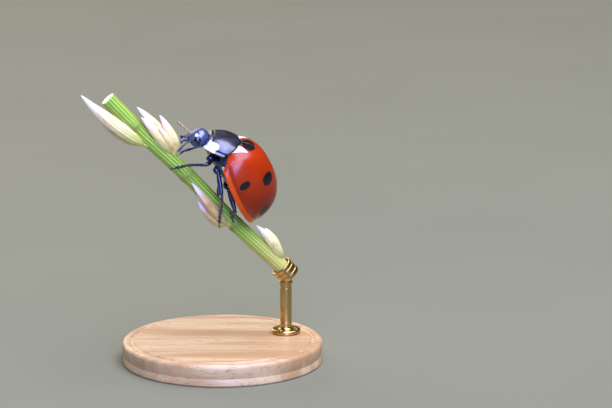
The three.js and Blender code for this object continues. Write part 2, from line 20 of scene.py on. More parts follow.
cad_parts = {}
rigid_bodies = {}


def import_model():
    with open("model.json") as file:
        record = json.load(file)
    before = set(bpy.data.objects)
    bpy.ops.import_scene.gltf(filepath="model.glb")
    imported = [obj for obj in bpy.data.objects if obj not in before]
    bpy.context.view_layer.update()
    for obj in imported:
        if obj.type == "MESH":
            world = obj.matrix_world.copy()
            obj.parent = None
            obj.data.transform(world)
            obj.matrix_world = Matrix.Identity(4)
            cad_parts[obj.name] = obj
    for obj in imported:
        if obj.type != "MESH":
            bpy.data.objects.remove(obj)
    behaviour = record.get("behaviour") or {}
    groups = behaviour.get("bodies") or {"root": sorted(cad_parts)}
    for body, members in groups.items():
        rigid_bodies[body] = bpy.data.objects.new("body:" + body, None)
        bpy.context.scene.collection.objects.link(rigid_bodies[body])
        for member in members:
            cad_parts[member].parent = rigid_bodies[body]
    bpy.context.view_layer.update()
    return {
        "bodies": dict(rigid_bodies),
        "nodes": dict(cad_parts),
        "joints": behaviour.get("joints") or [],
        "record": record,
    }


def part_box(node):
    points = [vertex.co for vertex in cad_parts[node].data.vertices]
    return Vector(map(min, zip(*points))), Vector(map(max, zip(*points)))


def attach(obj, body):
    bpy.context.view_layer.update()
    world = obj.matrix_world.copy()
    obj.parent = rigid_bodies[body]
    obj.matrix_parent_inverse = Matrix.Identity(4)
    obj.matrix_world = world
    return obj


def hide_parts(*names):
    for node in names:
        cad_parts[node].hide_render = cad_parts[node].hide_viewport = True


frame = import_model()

logging.basicConfig(level=logging.INFO, format="%(message)s")
LOG = logging.getLogger("ladybird")

Array = np.ndarray
Number = Array | float
Station = tuple[float, float]
Outline = tuple[Station, ...]
Point = tuple[float, float, float]
Material = bpy.types.Material
Node = bpy.types.Node
Piece = bpy.types.Object
Socket = bpy.types.NodeSocket

MM = 0.001  # metres in a millimetre
MERGED = 2e-4  # millimetres within which two points become one
DEGENERATE = 1e-5  # millimetres below which an edge is dropped
USUAL_INDEX = 1.5  # index of refraction of most dry solids
MAP_GAP = 0.02  # share of a strip of the unwrap that stays free at each side
SIDES = {"left": 1, "right": -1}


# ---------------- frames and curves


@dataclass(frozen=True)
class Pose:
    """Where the insect's own frame stands in the row frame."""

    heading: float = math.radians(-158.1)
    climb: float = math.radians(57.6)
    roll: float = math.radians(-24.8)
    height: float = 13.4

    def euler(self) -> Euler:
        """Returns: the turn from the insect's frame to the row frame."""
        return Euler((self.roll, -self.climb, self.heading), "XYZ")

    def matrix(self) -> Matrix:
        """Returns: the matrix from the insect's millimetres to the row frame's metres."""
        lift = Matrix.Translation((0, 0, self.height * MM))
        return lift @ self.euler().to_matrix().to_4x4() @ Matrix.Scale(MM, 4)


POSE = Pose()
INSECT = POSE.matrix()
ROW = Matrix.Scale(MM, 4)


def smoothstep(value: Number, low: float, high: float) -> Number:
    """Returns: the value eased from 0 at and below low to 1 at and above high."""
    share = np.clip((value - low) / (high - low), 0, 1)
    return share * share * (3 - 2 * share)


def lerp(low: Number, high: Number, share: Number) -> Number:
    """Returns: the value at a share of the way from low to high."""
    return low + (high - low) * share


def bump(distance: Number, width: float) -> Number:
    """Returns: a round bump of height 1 that fades within about twice the width."""
    return np.exp(-((distance / width) ** 2))


def unit(vectors: Array) -> Array:
    """Returns: the vectors at length 1, along their last axis."""
    length = np.linalg.norm(vectors, axis=-1, keepdims=True)
    return vectors / np.maximum(length, 1e-12)


def circle(columns: int) -> Array:
    """Returns: the angles of evenly spaced points on a ring."""
    return np.arange(columns) / columns * 2 * math.pi


def squarer(wave: Array, power: Number) -> Array:
    """Returns: a sine or cosine bent so that a power over 2 makes its circle squarer."""
    return np.sign(wave) * np.abs(wave) ** (2 / power)


def grid_of(rows: Array, columns: Array) -> Sequence[Array]:
    """Returns: two grids, with the value of each point's row and of its column."""
    return np.meshgrid(rows, columns, indexing="ij")


def on_side(point: Point, side: int) -> Array:
    """Returns: a place given for the left side, on the left (1) or the right (-1)."""
    return np.array((point[0], side * point[1], point[2]), float)


def profile(stations: Sequence[Station], at: Array) -> Array:
    """A smooth line through a few stations.

    Args:
        stations: pairs of place and value, in rising order of place.
        at: places to read.

    Returns:
        The values there.
    """
    places, values = np.array(stations, float).T
    slopes = np.gradient(values, places)
    i = np.clip(np.searchsorted(places, at, side="right") - 1, 0, len(places) - 2)
    gap = places[i + 1] - places[i]
    t = np.clip((at - places[i]) / gap, 0, 1)
    start = (1 + 2 * t) * (1 - t) ** 2 * values[i] + t * (1 - t) ** 2 * gap * slopes[i]
    end = t * t * (3 - 2 * t) * values[i + 1] - t * t * (1 - t) * gap * slopes[i + 1]
    return start + end


def bezier(points: Sequence[Point], share: Array) -> Array:
    """A quadratic curve.

    Args:
        points: its three control points.
        share: shares of the way along it.

    Returns:
        The points there.
    """
    start, middle, end = (np.array(p, float) for p in points)
    t = share[:, None]
    return (1 - t) ** 2 * start + 2 * t * (1 - t) * middle + t * t * end


def outward(points: Array, middle: Array | Point, closed: bool = False) -> Array:
    """Unit normals of a grid of points.

    Args:
        points: grid of rows, columns and coordinates.
        middle: place, or places, that the normals point away from.
        closed: whether the last column joins the first.

    Returns:
        The normals.
    """
    along = np.gradient(points, axis=0)
    if closed:
        across = np.roll(points, -1, 1) - np.roll(points, 1, 1)
    else:
        across = np.gradient(points, axis=1)
    normal = unit(np.cross(across, along))
    return normal * np.sign(np.sum(normal * (points - middle), -1, keepdims=True))


def run_length(points: Array, axis: int) -> Array:
    """Returns: how far each point of a grid lies along the surface from the start of that axis."""
    steps = np.linalg.norm(np.diff(points, axis=axis), axis=-1)
    return np.insert(np.cumsum(steps, axis), 0, 0, axis)


@dataclass(frozen=True)
class Ridge:
    """A raised line beside an edge, or a groove where its height is below zero."""

    height: float
    at: float
    width: float

    def over(self, distance: Number) -> Number:
        """Returns: its height at these distances from the edge."""
        return self.height * bump(distance - self.at, self.width)


@dataclass(frozen=True)
class Waves:
    """Slow uneven waves on a surface made by growth; the seed says which ones."""

    height: float
    length: float
    seed: int
    count: int = 5

    def over(self, at: Array) -> Array:
        """Heights of the waves.

        Args:
            at: points, with coordinates along the last axis.

        Returns:
            The height at each point, mostly within the waves' own height of zero.
        """
        draws = np.random.default_rng(self.seed)
        total = np.zeros(at.shape[:-1])
        for _ in range(self.count):
            direction = draws.normal(size=3) * 2 * math.pi / self.length
            total += np.sin(at @ direction + draws.uniform(0, 2 * math.pi))
        return self.height * (total / 3)


# ---------------- shapes and pieces


def placed(name: str, data: bpy.types.ID) -> Piece:
    """Puts new data into the scene.

    Args:
        name: name of the object.
        data: mesh, light or camera that it holds.

    Returns:
        The object.
    """
    made = bpy.data.objects.new(name, data)
    bpy.context.scene.collection.objects.link(made)
    return made


def dress(piece: Piece, finishes: Sequence[Material], slot: str, *nodes: str) -> Piece:
    """Gives a finished piece its materials and its place in the frame.

    Args:
        piece: object at the origin, with its place in its mesh.
        finishes: materials, in the order of the shape's slots.
        slot: the record's material slot; not used.
        nodes: CAD nodes that the piece stands for.

    Returns:
        The piece.
    """
    piece.data.materials.clear()
    for finish in finishes:
        piece.data.materials.append(finish)
    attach(piece, "root")
    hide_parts(*nodes)
    LOG.info("%s: %d faces", piece.name, len(piece.data.polygons))
    return piece


class Shape:
    """Closed surfaces gathered for one piece, in millimetres."""

    def __init__(self) -> None:
        """Starts with no surface."""
        self.points: list[Array] = []
        self.faces: list[Array] = []
        self.maps: list[Array] = []
        self.slots: list[int] = []
        self.marks: list[dict[str, Array]] = []
        self.size = 0

    def rings(
        self, grid: Array, slot: int = 0, marks: dict[str, Array] | None = None, capped: bool = True
    ) -> "Shape":
        """Adds a closed surface of rings.

        Args:
            grid: rings, points on a ring, and coordinates.
            slot: number of the finish that it takes.
            marks: numbers or vectors at each point, by name.
            capped: whether a fan closes its first and last ring, which otherwise close by themselves.

        Returns:
            This shape.
        """
        rows, columns = grid.shape[:2]
        index = self.size + np.arange(rows * columns).reshape(rows, columns)
        right = np.roll(index, -1, 1)
        faces = np.stack([index[:-1], right[:-1], right[1:], index[1:]], -1).reshape(-1, 4).tolist()
        u, v = np.meshgrid(np.arange(columns) / columns, np.arange(rows) / (rows - 1))
        u, v, step = u[:-1], v[:-1], (1 / columns, 1 / (rows - 1))
        corners = [(u, v), (u + step[0], v), (u + step[0], v + step[1]), (u, v + step[1])]
        maps = [np.stack([np.stack(c, -1) for c in corners], 2).reshape(-1, 2)]
        points = [grid.reshape(-1, 3)]
        if capped:
            first, last = self.size + rows * columns, self.size + rows * columns + 1
            faces += [[first, b, a] for a, b in zip(index[0], right[0])]
            faces += [[last, a, b] for a, b in zip(index[-1], right[-1])]
            turn = np.arange(columns) / columns
            middle, end = turn + 0.5 / columns, turn + 1 / columns
            for fan, height in (((middle, end, turn), 0.0), ((middle, turn, end), 1.0)):
                flat = np.stack(fan, -1).ravel()
                maps.append(np.stack([flat, np.full_like(flat, height)], -1))
            points.append(np.stack([grid[0].mean(0), grid[-1].mean(0)]))
        held = {}
        for name, values in (marks or {}).items():
            closing = np.stack([values[0].mean(0), values[-1].mean(0)])[: 2 * capped]
            held[name] = np.concatenate([values.reshape(-1, *values.shape[2:]), closing])
        self.points.append(np.concatenate(points))
        self.faces += faces
        self.maps.append(np.concatenate(maps))
        self.slots += [slot] * len(faces)
        self.marks.append(held)
        self.size += rows * columns + 2 * capped
        return self

    def plate(self, outer: Array, inner: Array, marks: dict[str, Array] | None = None) -> "Shape":
        """Adds a plate that is closed all round between an outer and an inner face.

        Args:
            outer: grid of the outer face.
            inner: grid of the inner face, of the same size.
            marks: numbers at each point of the outer face, by name; the inner face takes the same.

        Returns:
            This shape.
        """

        def around(over: Array, under: Array) -> Array:
            """Closes a grid all round.

            Args:
                over: values on the outer face.
                under: values on the inner face.

            Returns:
                Rings round both faces, with a flat one at each end.
            """
            rows = np.concatenate([over, under[:, ::-1]], 1)
            ends = [np.concatenate([under[i], under[i, ::-1]])[None] for i in (0, -1)]
            return np.concatenate([ends[0], rows, ends[1]])

        held = {name: around(values, values) for name, values in (marks or {}).items()}
        return self.rings(around(outer, inner), 0, held, False)

    def tiled_map(self) -> Array:
        """Lays the unwrap out, with a strip for every surface.

        Returns:
            Each face corner's place on it.
        """
        share, used = 1 / len(self.maps), 1 - 2 * MAP_GAP
        strips = [((i + MAP_GAP + used * m[:, 0]) * share, m[:, 1]) for i, m in enumerate(self.maps)]
        return np.concatenate([np.stack(strip, -1) for strip in strips])

    def mark(self, name: str) -> Array:
        """Gathers a mark over all surfaces.

        Args:
            name: name of the mark.

        Returns:
            Its number or vector at every point, with 0 where a surface has none.
        """
        shape = next(m[name].shape[1:] for m in self.marks if name in m)
        pairs = zip(self.marks, self.points)
        return np.concatenate([m.get(name, np.zeros((len(p), *shape))) for m, p in pairs])

    def build(self, name: str, place: Matrix = INSECT, crease: float = math.radians(38)) -> Piece:
        """Makes the object, with doubled points merged and faces turned outwards.

        Args:
            name: name of the object.
            place: matrix from the shape's millimetres to the row frame's metres.
            crease: edges that turn more than this stay sharp.

        Returns:
            The object, with its place in its mesh.
        """
        mesh = bpy.data.meshes.new(name)
        mesh.from_pydata(np.concatenate(self.points), [], self.faces)
        layer = mesh.uv_layers.new(name="OFBake")
        layer.data.foreach_set("uv", self.tiled_map().astype(np.float32).ravel())
        mesh.polygons.foreach_set("material_index", self.slots)
        for mark in sorted({n for m in self.marks for n in m}):
            values = self.mark(mark)
            kind, key = ("FLOAT_VECTOR", "vector") if values.ndim > 1 else ("FLOAT", "value")
            held = mesh.attributes.new(mark, kind, "POINT").data
            held.foreach_set(key, values.astype(np.float32).ravel())
        work = bmesh.new()
        work.from_mesh(mesh)
        bmesh.ops.remove_doubles(work, verts=work.verts, dist=MERGED)
        bmesh.ops.dissolve_degenerate(work, edges=work.edges, dist=DEGENERATE)
        bmesh.ops.recalc_face_normals(work, faces=work.faces)
        work.to_mesh(mesh)
        work.free()
        mesh.transform(place)
        mesh.shade_smooth()
        mesh.set_sharp_from_angle(angle=crease)
        return placed(name, mesh)

    def piece(self, name: str, finishes: Sequence[Material], slot: str, *nodes: str) -> Piece:
        """Returns: the shape as a piece on the insect, dressed for those nodes."""
        return dress(self.build(name), finishes, slot, *nodes)


def tube(path: Array, radii: Array, side: Array, columns: int = 20) -> Array:
    """Rings round a path.

    Args:
        path: points along the middle.
        radii: at each point the radius sideways and the radius across that.
        side: rough direction of the first radius.
        columns: points on a ring.

    Returns:
        The grid of rings.
    """
    forward = unit(np.gradient(path, axis=0))
    across = unit(np.cross(forward, np.broadcast_to(side, path.shape)))
    sideways = np.cross(across, forward)
    turn = circle(columns)
    wide, deep = radii[:, :1] * np.cos(turn), radii[:, 1:] * np.sin(turn)
    return path[:, None] + wide[..., None] * sideways[:, None] + deep[..., None] * across[:, None]


def ball(centre: Array | Point, semi_axes: Point, turn: Matrix | None, rows: int, columns: int) -> Array:
    """Rings of an ellipsoid about its own X axis.

    Args:
        centre: middle of the ellipsoid.
        semi_axes: half its size along its own axes.
        turn: rotation of those axes, if they have one.
        rows: rings from pole to pole.
        columns: points on a ring.

    Returns:
        The grid of rings.
    """
    tilt, angle = grid_of(np.linspace(0, math.pi, rows), circle(columns))
    grid = np.stack([-np.cos(tilt), np.sin(tilt) * np.cos(angle), np.sin(tilt) * np.sin(angle)], -1)
    grid = grid * np.array(semi_axes)
    if turn is not None:
        grid = grid @ np.array(turn.to_3x3()).T
    return grid + np.array(centre)


def levels(flat: Array, height: Array) -> Array:
    """Returns: flat rings, each lifted to its own height."""
    return np.concatenate([flat, np.broadcast_to(height[:, None, None], (*flat.shape[:2], 1))], -1)


def lathe(outline: Sequence[Station], columns: int = 96) -> Array:
    """Rings of a turned piece about the Z axis.

    Args:
        outline: pairs of radius and height.
        columns: points on a ring.

    Returns:
        The grid of rings.
    """
    radius, height = np.array(outline, float).T
    turn = circle(columns)
    return levels(radius[:, None, None] * np.stack([np.cos(turn), np.sin(turn)], -1), height)


# ---------------- node trees


def linear(colour: str) -> tuple[float, float, float, float]:
    """Turns an sRGB colour into a linear one.

    Args:
        colour: hex colour.

    Returns:
        Linear RGBA.
    """
    parts = [int(colour[i : i + 2], 16) / 255 for i in (1, 3, 5)]
    turned = [p / 12.92 if p <= 0.04045 else ((p + 0.055) / 1.055) ** 2.4 for p in parts]
    return (*turned, 1.0)


def add_node(
    tree: bpy.types.NodeTree,
    kind: str,
    settings: dict[str, object] | None = None,
    inputs: dict[str | int, object] | None = None,
) -> Node:
    """Adds a node with its settings and links.

    Args:
        tree: tree to add to.
        kind: the node's type name.
        settings: properties of the node.
        inputs: for each socket, by name or number, its value or the output that it is linked to.

    Returns:
        The node.
    """
    made = tree.nodes.new(kind)
    for key, value in (settings or {}).items():
        setattr(made, key, value)
    for key, value in (inputs or {}).items():
        if isinstance(value, Socket):
            tree.links.new(value, made.inputs[key])
        else:
            made.inputs[key].default_value = value
    return made


class Paint:
    """A material's tree under construction, with its coordinates in millimetres."""

    def __init__(self, name: str) -> None:
        """Starts a material.

        Args:
            name: the real material's name.
        """
        self.material = bpy.data.materials.new(name)
        self.material.use_nodes = True
        self.tree = self.material.node_tree
        self.tree.nodes.clear()

    def add(self, kind: str, settings: dict | None = None, inputs: dict | None = None) -> Node:
        """Returns: a node added to this material's tree."""
        return add_node(self.tree, kind, settings, inputs)

    def row(self, **frame: object) -> Socket:
        """Coordinates in millimetres, in the row frame or in one that stands in it.

        Args:
            frame: Location and Rotation of that frame, in metres and radians.

        Returns:
            The place.
        """
        frame["Vector"] = self.add("ShaderNodeTexCoord").outputs["Object"]
        frame["Scale"] = (MM, MM, MM)
        return self.add("ShaderNodeMapping", {"vector_type": "TEXTURE"}, frame).outputs[0]

    def body(self) -> Socket:
        """Returns: the place on the insect, in millimetres of the insect's own frame."""
        return self.row(Location=(0, 0, POSE.height * MM), Rotation=POSE.euler())

    def parts(self, at: Socket) -> Sequence[Socket]:
        """Returns: the X, Y and Z of a place."""
        return self.add("ShaderNodeSeparateXYZ", None, {0: at}).outputs

    def mirrored(self, at: Socket) -> Socket:
        """Returns: the place with its right side folded onto its left one."""
        x, y, z = self.parts(at)
        return self.add("ShaderNodeCombineXYZ", None, {0: x, 1: self.math("ABSOLUTE", y), 2: z}).outputs[0]

    def mark(self, name: str) -> Socket:
        """Returns: the number that the piece's mesh holds under that name."""
        return self.add("ShaderNodeAttribute", {"attribute_name": name}).outputs["Fac"]

    def math(self, operation: str, *values: object) -> Socket:
        """Returns: the result of a Math node on up to three values or sockets."""
        return self.add("ShaderNodeMath", {"operation": operation}, dict(enumerate(values))).outputs[0]

    def least(self, *values: Socket) -> Socket:
        """Finds the smallest value.

        Args:
            values: values to compare.

        Returns:
            The smallest of them.
        """
        found = values[0]
        for value in values[1:]:
            found = self.math("MINIMUM", found, value)
        return found

    def vary(self, value: Socket, by: float, start: float) -> Socket:
        """Returns: a number that rises from the start by this much as the value goes from 0 to 1."""
        return self.math("MULTIPLY_ADD", value, by, start)

    def ramp(self, value: Socket, low: float, high: float) -> Socket:
        """Eases a value from 0 at low to 1 at high, or the other way round if high is lower.

        Args:
            value: what is eased.
            low: where the result is 0.
            high: where the result is 1.

        Returns:
            The eased share.
        """
        down = high < low
        inputs = {"Value": value, "From Min": min(low, high), "From Max": max(low, high)}
        inputs |= {"To Min": float(down), "To Max": float(not down)}
        return self.add("ShaderNodeMapRange", {"interpolation_type": "SMOOTHSTEP"}, inputs).outputs[0]

    def noise(self, at: Socket, size: float, detail: float = 2, stretch: Point = (1, 1, 1)) -> Socket:
        """Smooth noise.

        Args:
            at: coordinates in millimetres.
            size: size of its patches, in millimetres.
            detail: how many finer layers it has.
            stretch: how many times longer the patches are along each axis.

        Returns:
            The noise, around 0.5.
        """
        scale = tuple(1 / s for s in stretch)
        scaled = self.add("ShaderNodeMapping", None, {"Vector": at, "Scale": scale}).outputs[0]
        inputs = {"Vector": scaled, "Scale": 1 / size, "Detail": detail}
        return self.add("ShaderNodeTexNoise", None, inputs).outputs[0]

    def cells(self, at: Socket, spacing: float) -> Socket:
        """Returns: the distance to the nearest of many scattered points, which are about that far apart."""
        inputs = {"Vector": at, "Scale": 1 / spacing}
        return self.add("ShaderNodeTexVoronoi", None, inputs).outputs["Distance"]

    def layer(self, below: str | Socket, above: str | Socket, share: Socket, strength: float = 1.0) -> Socket:
        """Lays one colour over another.

        Args:
            below: hex colour or socket.
            above: hex colour or socket.
            share: where the upper one shows.
            strength: how much of it shows there.

        Returns:
            The colour that results.
        """
        if strength < 1:
            share = self.math("MULTIPLY", share, strength)
        sides = [linear(c) if isinstance(c, str) else c for c in (below, above)]
        inputs = {0: share, 6: sides[0], 7: sides[1]}
        return self.add("ShaderNodeMix", {"data_type": "RGBA"}, inputs).outputs[2]

    def relief(self, height: Socket, depth: float, below: Socket | None = None) -> Socket:
        """Fine relief.

        Args:
            height: socket that gives the height, as a share.
            depth: real depth of the relief, in millimetres.
            below: the normal that it goes over, the surface's own if left out.

        Returns:
            The normal.
        """
        inputs = {"Height": height, "Distance": depth * MM, "Strength": 1.0}
        if below is not None:
            inputs["Normal"] = below
        return self.add("ShaderNodeBump", None, inputs).outputs[0]

    def finish(self, colour: Socket, rough: Number | Socket, index: float, **more: object) -> Material:
        """Closes the tree with the surface shader.

        Args:
            colour: base colour.
            rough: roughness.
            index: index of refraction.
            more: other sockets by name, with _ for a space, as values, hex colours or sockets.

        Returns:
            The material.
        """
        named = {k.replace("_", " "): linear(v) if isinstance(v, str) else v for k, v in more.items()}
        named |= {"Base Color": colour, "Roughness": rough, "IOR": index}
        shader = self.add("ShaderNodeBsdfPrincipled", None, named)
        self.add("ShaderNodeOutputMaterial", None, {0: shader.outputs[0]})
        return self.material


# ---------------- finishes


@dataclass(frozen=True)
class Spot:
    """A spot on the shell, cut out of the surface by an ellipsoid."""

    centre: Point
    semi_axes: Point
    turn: Point = (0, 0, 0)

    def on(self, paint: Paint, at: Socket) -> Socket:
        """Measures the distance from the spot's centre.

        Args:
            paint: the material's tree.
            at: coordinates in millimetres.

        Returns:
            The distance, where 1 is the spot's edge.
        """
        place = {"Vector": at, "Location": self.centre, "Rotation": self.turn, "Scale": self.semi_axes}
        mapped = paint.add("ShaderNodeMapping", {"vector_type": "TEXTURE"}, place).outputs[0]
        return paint.add("ShaderNodeVectorMath", {"operation": "LENGTH"}, {0: mapped}).outputs["Value"]


@dataclass(frozen=True)
class Edge:
    """A straight edge of a pale mark: a plane through a place, and the side that the mark lies on."""

    point: Point
    towards: Point

    def on(self, paint: Paint, at: Socket) -> Socket:
        """Measures the distance from the edge.

        Args:
            paint: the material's tree.
            at: coordinates in millimetres.

        Returns:
            How far inside the mark a place lies, in millimetres.
        """
        direction = Vector(self.towards).normalized()
        dot = paint.add("ShaderNodeVectorMath", {"operation": "DOT_PRODUCT"}, {0: at, 1: direction})
        return paint.math("SUBTRACT", dot.outputs["Value"], direction.dot(Vector(self.point)))


@dataclass(frozen=True)
class Patches:
    """Soft patches, which show where smooth noise lies between two values."""

    size: float
    low: float
    high: float
    detail: float = 2
    stretch: Point = (1, 1, 1)

    def on(self, paint: Paint, at: Socket) -> Socket:
        """Returns: how much of a patch shows at each place."""
        return paint.ramp(paint.noise(at, self.size, self.detail, self.stretch), self.low, self.high)


@dataclass(frozen=True)
class Uneven:
    """A number that varies from place to place with smooth noise."""

    size: float
    start: float
    by: float
    detail: float = 2

    def on(self, paint: Paint, at: Socket) -> Socket:
        """Returns: the number at each place."""
        return paint.vary(paint.noise(at, self.size, self.detail), self.by, self.start)


@dataclass(frozen=True)
class WingCaseChitin:
    """Chitin of the wing cases: a glossy clear cuticle over red pigment, with fine punctures.

    It gives a saturated red that darkens to the rear, in part as painted shade, a brighter orange side margin
    that is in part painted light, crisp black spots and a soft bright reflection.
    """

    red: str = "#9a2801"
    # Deep red of the rear, in part painted shade.
    deep: str = "#741400"
    # Brighter orange of the side margin, in part painted light.
    rim: str = "#be4303"
    black: str = "#0a0b0a"
    pale: str = "#e0dad2"
    roughness: Uneven = Uneven(0.6, 0.23, 0.1)
    index: float = 1.44
    rear: Station = (0.6, -3.6)
    clouds: Patches = Patches(1.4, 0.5, 0.75)
    cloud_strength: float = 0.35
    rim_reach: Station = (0.44, 0.3)
    pits: float = 0.075
    pit_edge: Station = (0.1, 0.4)
    pit_depth: float = 0.0009
    mirrored_spots: tuple[Spot, ...] = (
        Spot((-0.41, 2.5, 1.73), (0.27, 0.6, 0.42)),
        Spot((-1.19, 1.28, 3.08), (0.43, 0.6, 0.5), (math.radians(-31), 0, 0)),
        Spot((-3.25, 1.25, 1.66), (0.5, 0.42, 0.52)),
    )
    shared_spots: tuple[Spot, ...] = (
        Spot((1.27, 0.18, 2.9), (0.4, 0.86, 0.9)),
        Spot((1.7, 0, 2.55), (0.42, 0.5, 0.6)),
    )
    spot_edge: Station = (1.05, 0.95)
    ragged: Uneven = Uneven(0.35, -0.08, 0.16, 1)
    patch: tuple[Edge, Edge] = (Edge((1.95, 0.42, 0), (0.83, 0.75, 0)), Edge((1.2, 1.27, 0), (0.25, -0.6, 0)))
    patch_edge: Station = (-0.02, 0.04)

    def build(self) -> Material:
        """Paints the material.

        Returns:
            The material.
        """
        paint = Paint("Chitin_wing_case_red")
        at = paint.body()
        folded = paint.mirrored(at)
        # Painted shade, in part: the red darkens to the deep red towards the rear.
        red = paint.layer(self.red, self.deep, paint.ramp(paint.parts(at)[0], *self.rear))
        red = paint.layer(red, self.deep, self.clouds.on(paint, at), self.cloud_strength)
        # Partly painted light: the side margin is painted a brighter orange.
        red = paint.layer(red, self.rim, paint.ramp(paint.mark("margin"), *self.rim_reach))
        corner = paint.least(*(edge.on(paint, folded) for edge in self.patch))
        red = paint.layer(red, self.pale, paint.ramp(corner, *self.patch_edge))
        spots = [spot.on(paint, folded) for spot in self.mirrored_spots]
        spots += [spot.on(paint, at) for spot in self.shared_spots]
        ragged = self.ragged.on(paint, at)
        nearest = paint.math("ADD", paint.least(*spots), ragged)
        colour = paint.layer(red, self.black, paint.ramp(nearest, *self.spot_edge))
        pits = paint.relief(paint.ramp(paint.cells(at, self.pits), *self.pit_edge), self.pit_depth)
        return paint.finish(colour, self.roughness.on(paint, at), self.index, Normal=pits)


class Markings(Enum):
    """Where a black part carries its pale marks."""

    NONE = "none"
    SHIELD = "shield"
    FACE = "face"
    FLANK = "flank"


@dataclass(frozen=True)
class BlackChitin:
    """Black sclerotised chitin: a polished shell with a net of very fine grooves.

    Its tone is near black with a faint painted blue reflection, and faint patches of it are painted towards
    the lavender sheen colour; the rest of its blue and lavender comes from what it mirrors.
    """

    name: str = "Chitin_black_polished"
    # Near black with a faint painted blue reflection in it.
    tone: str = "#141622"
    sheen: str = "#c0c8ff"
    pale: str = "#dcd8d6"
    roughness: float = 0.28
    index: float = 1.85
    markings: Markings = Markings.NONE
    polish: float = 0.4
    # Where the painted sheen shows; cloud_strength says how much.
    clouds: Patches = Patches(0.5, 0.35, 0.75)
    cloud_strength: float = 0.024
    net: float = 0.05
    net_depth: float = 0.0012
    corner: tuple[Edge, Edge] = (Edge((3.1, 1.03, 0), (0.967, 1, 0)), Edge((2.76, 1.32, 0), (2, 1, 0)))
    corner_edge: Station = (-0.025, 0.025)
    flank_patch: Spot = Spot((1.24, 2.0, 0.93), (0.2, 0.34, 0.15), (0, math.radians(35), 0))
    face_spot: Spot = Spot((3.87, 0.56, 0.3), (0.2, 0.17, 0.12))
    spot_edge: Station = (1.08, 0.92)
    ragged: Uneven = Uneven(0.22, -0.35, 0.7, 1)

    def pale_share(self, paint: Paint, at: Socket) -> Socket:
        """Says where the pale mark is.

        Args:
            paint: the material's tree.
            at: place on the insect.

        Returns:
            How much of the mark shows there.
        """
        folded = paint.mirrored(at)
        if self.markings is Markings.SHIELD:
            corner = paint.least(*(edge.on(paint, folded) for edge in self.corner))
            return paint.ramp(corner, *self.corner_edge)
        if self.markings is Markings.FACE:
            return paint.ramp(self.face_spot.on(paint, folded), *self.spot_edge)
        ragged = self.ragged.on(paint, at)
        return paint.ramp(paint.math("ADD", self.flank_patch.on(paint, folded), ragged), *self.spot_edge)

    def build(self) -> Material:
        """Paints the material.

        Returns:
            The material.
        """
        paint = Paint(self.name)
        at = paint.body()
        # Painted sheen: faint patches of the tone are painted towards the sheen colour.
        tone = paint.layer(self.tone, self.sheen, self.clouds.on(paint, at), self.cloud_strength)
        if self.markings is not Markings.NONE:
            tone = paint.layer(tone, self.pale, self.pale_share(paint, at))
        normal = paint.relief(paint.cells(at, self.net), self.net_depth)
        rough = Uneven(self.polish, self.roughness - 0.05, 0.1).on(paint, at)
        coat = {"Coat_Weight": 0.2, "Coat_Roughness": 0.15}
        return paint.finish(tone, rough, self.index, Specular_Tint=self.sheen, Normal=normal, **coat)


@dataclass(frozen=True)
class PaleChitin:
    """Thin chitin with little pigment, on mouth parts, feelers and the soft joints between plates.

    It is a translucent horn colour, and darker where it is thick.
    """

    name: str = "Chitin_horn_brown"
    light: str = "#b08a72"
    dark: str = "#4a3024"
    roughness: float = 0.3
    index: float = 1.56
    grain: Patches = Patches(0.15, 0.4, 0.7)
    net: float = 0.03
    net_depth: float = 0.001

    def build(self) -> Material:
        """Paints the material.

        Returns:
            The material.
        """
        paint = Paint(self.name)
        at = paint.body()
        colour = paint.layer(self.light, self.dark, self.grain.on(paint, at))
        normal = paint.relief(paint.cells(at, self.net), self.net_depth)
        return paint.finish(colour, self.roughness, self.index, Normal=normal, Coat_Weight=0.2)


@dataclass(frozen=True)
class EyeLens:
    """The eye's skin of lenses: clear and glassy over dark pigment, so it mirrors as fine points, with
    patches of painted blue sheen in its colour.
    """

    deep: str = "#05060a"
    # Painted sheen: the blue that shows in patches of the lens colour.
    sheen: str = "#16213f"
    roughness: float = 0.12
    index: float = 1.56
    clouds: Patches = Patches(0.12, 0.4, 0.7)

    def build(self) -> Material:
        """Paints the material.

        Returns:
            The material.
        """
        paint = Paint("Lens_cuticle_dark")
        # Painted sheen: blue patches over the dark lens colour.
        colour = paint.layer(self.deep, self.sheen, self.clouds.on(paint, paint.body()))
        return paint.finish(colour, self.roughness, self.index, Coat_Weight=0.8, Coat_Roughness=0.06)


@dataclass(frozen=True)
class Bristle:
    """Hair-like bristles of the insect: thin, dry and pale, so they catch the light."""

    light: str = "#a3988a"
    dark: str = "#8a7a66"
    roughness: float = 0.45
    index: float = 1.55
    clouds: Patches = Patches(0.2, 0.3, 0.8)
    cloud_strength: float = 0.4

    def build(self) -> Material:
        """Paints the material.

        Returns:
            The material.
        """
        paint = Paint("Bristle_insect_pale")
        colour = paint.layer(self.light, self.dark, self.clouds.on(paint, paint.body()), self.cloud_strength)
        return paint.finish(colour, self.roughness, self.index)


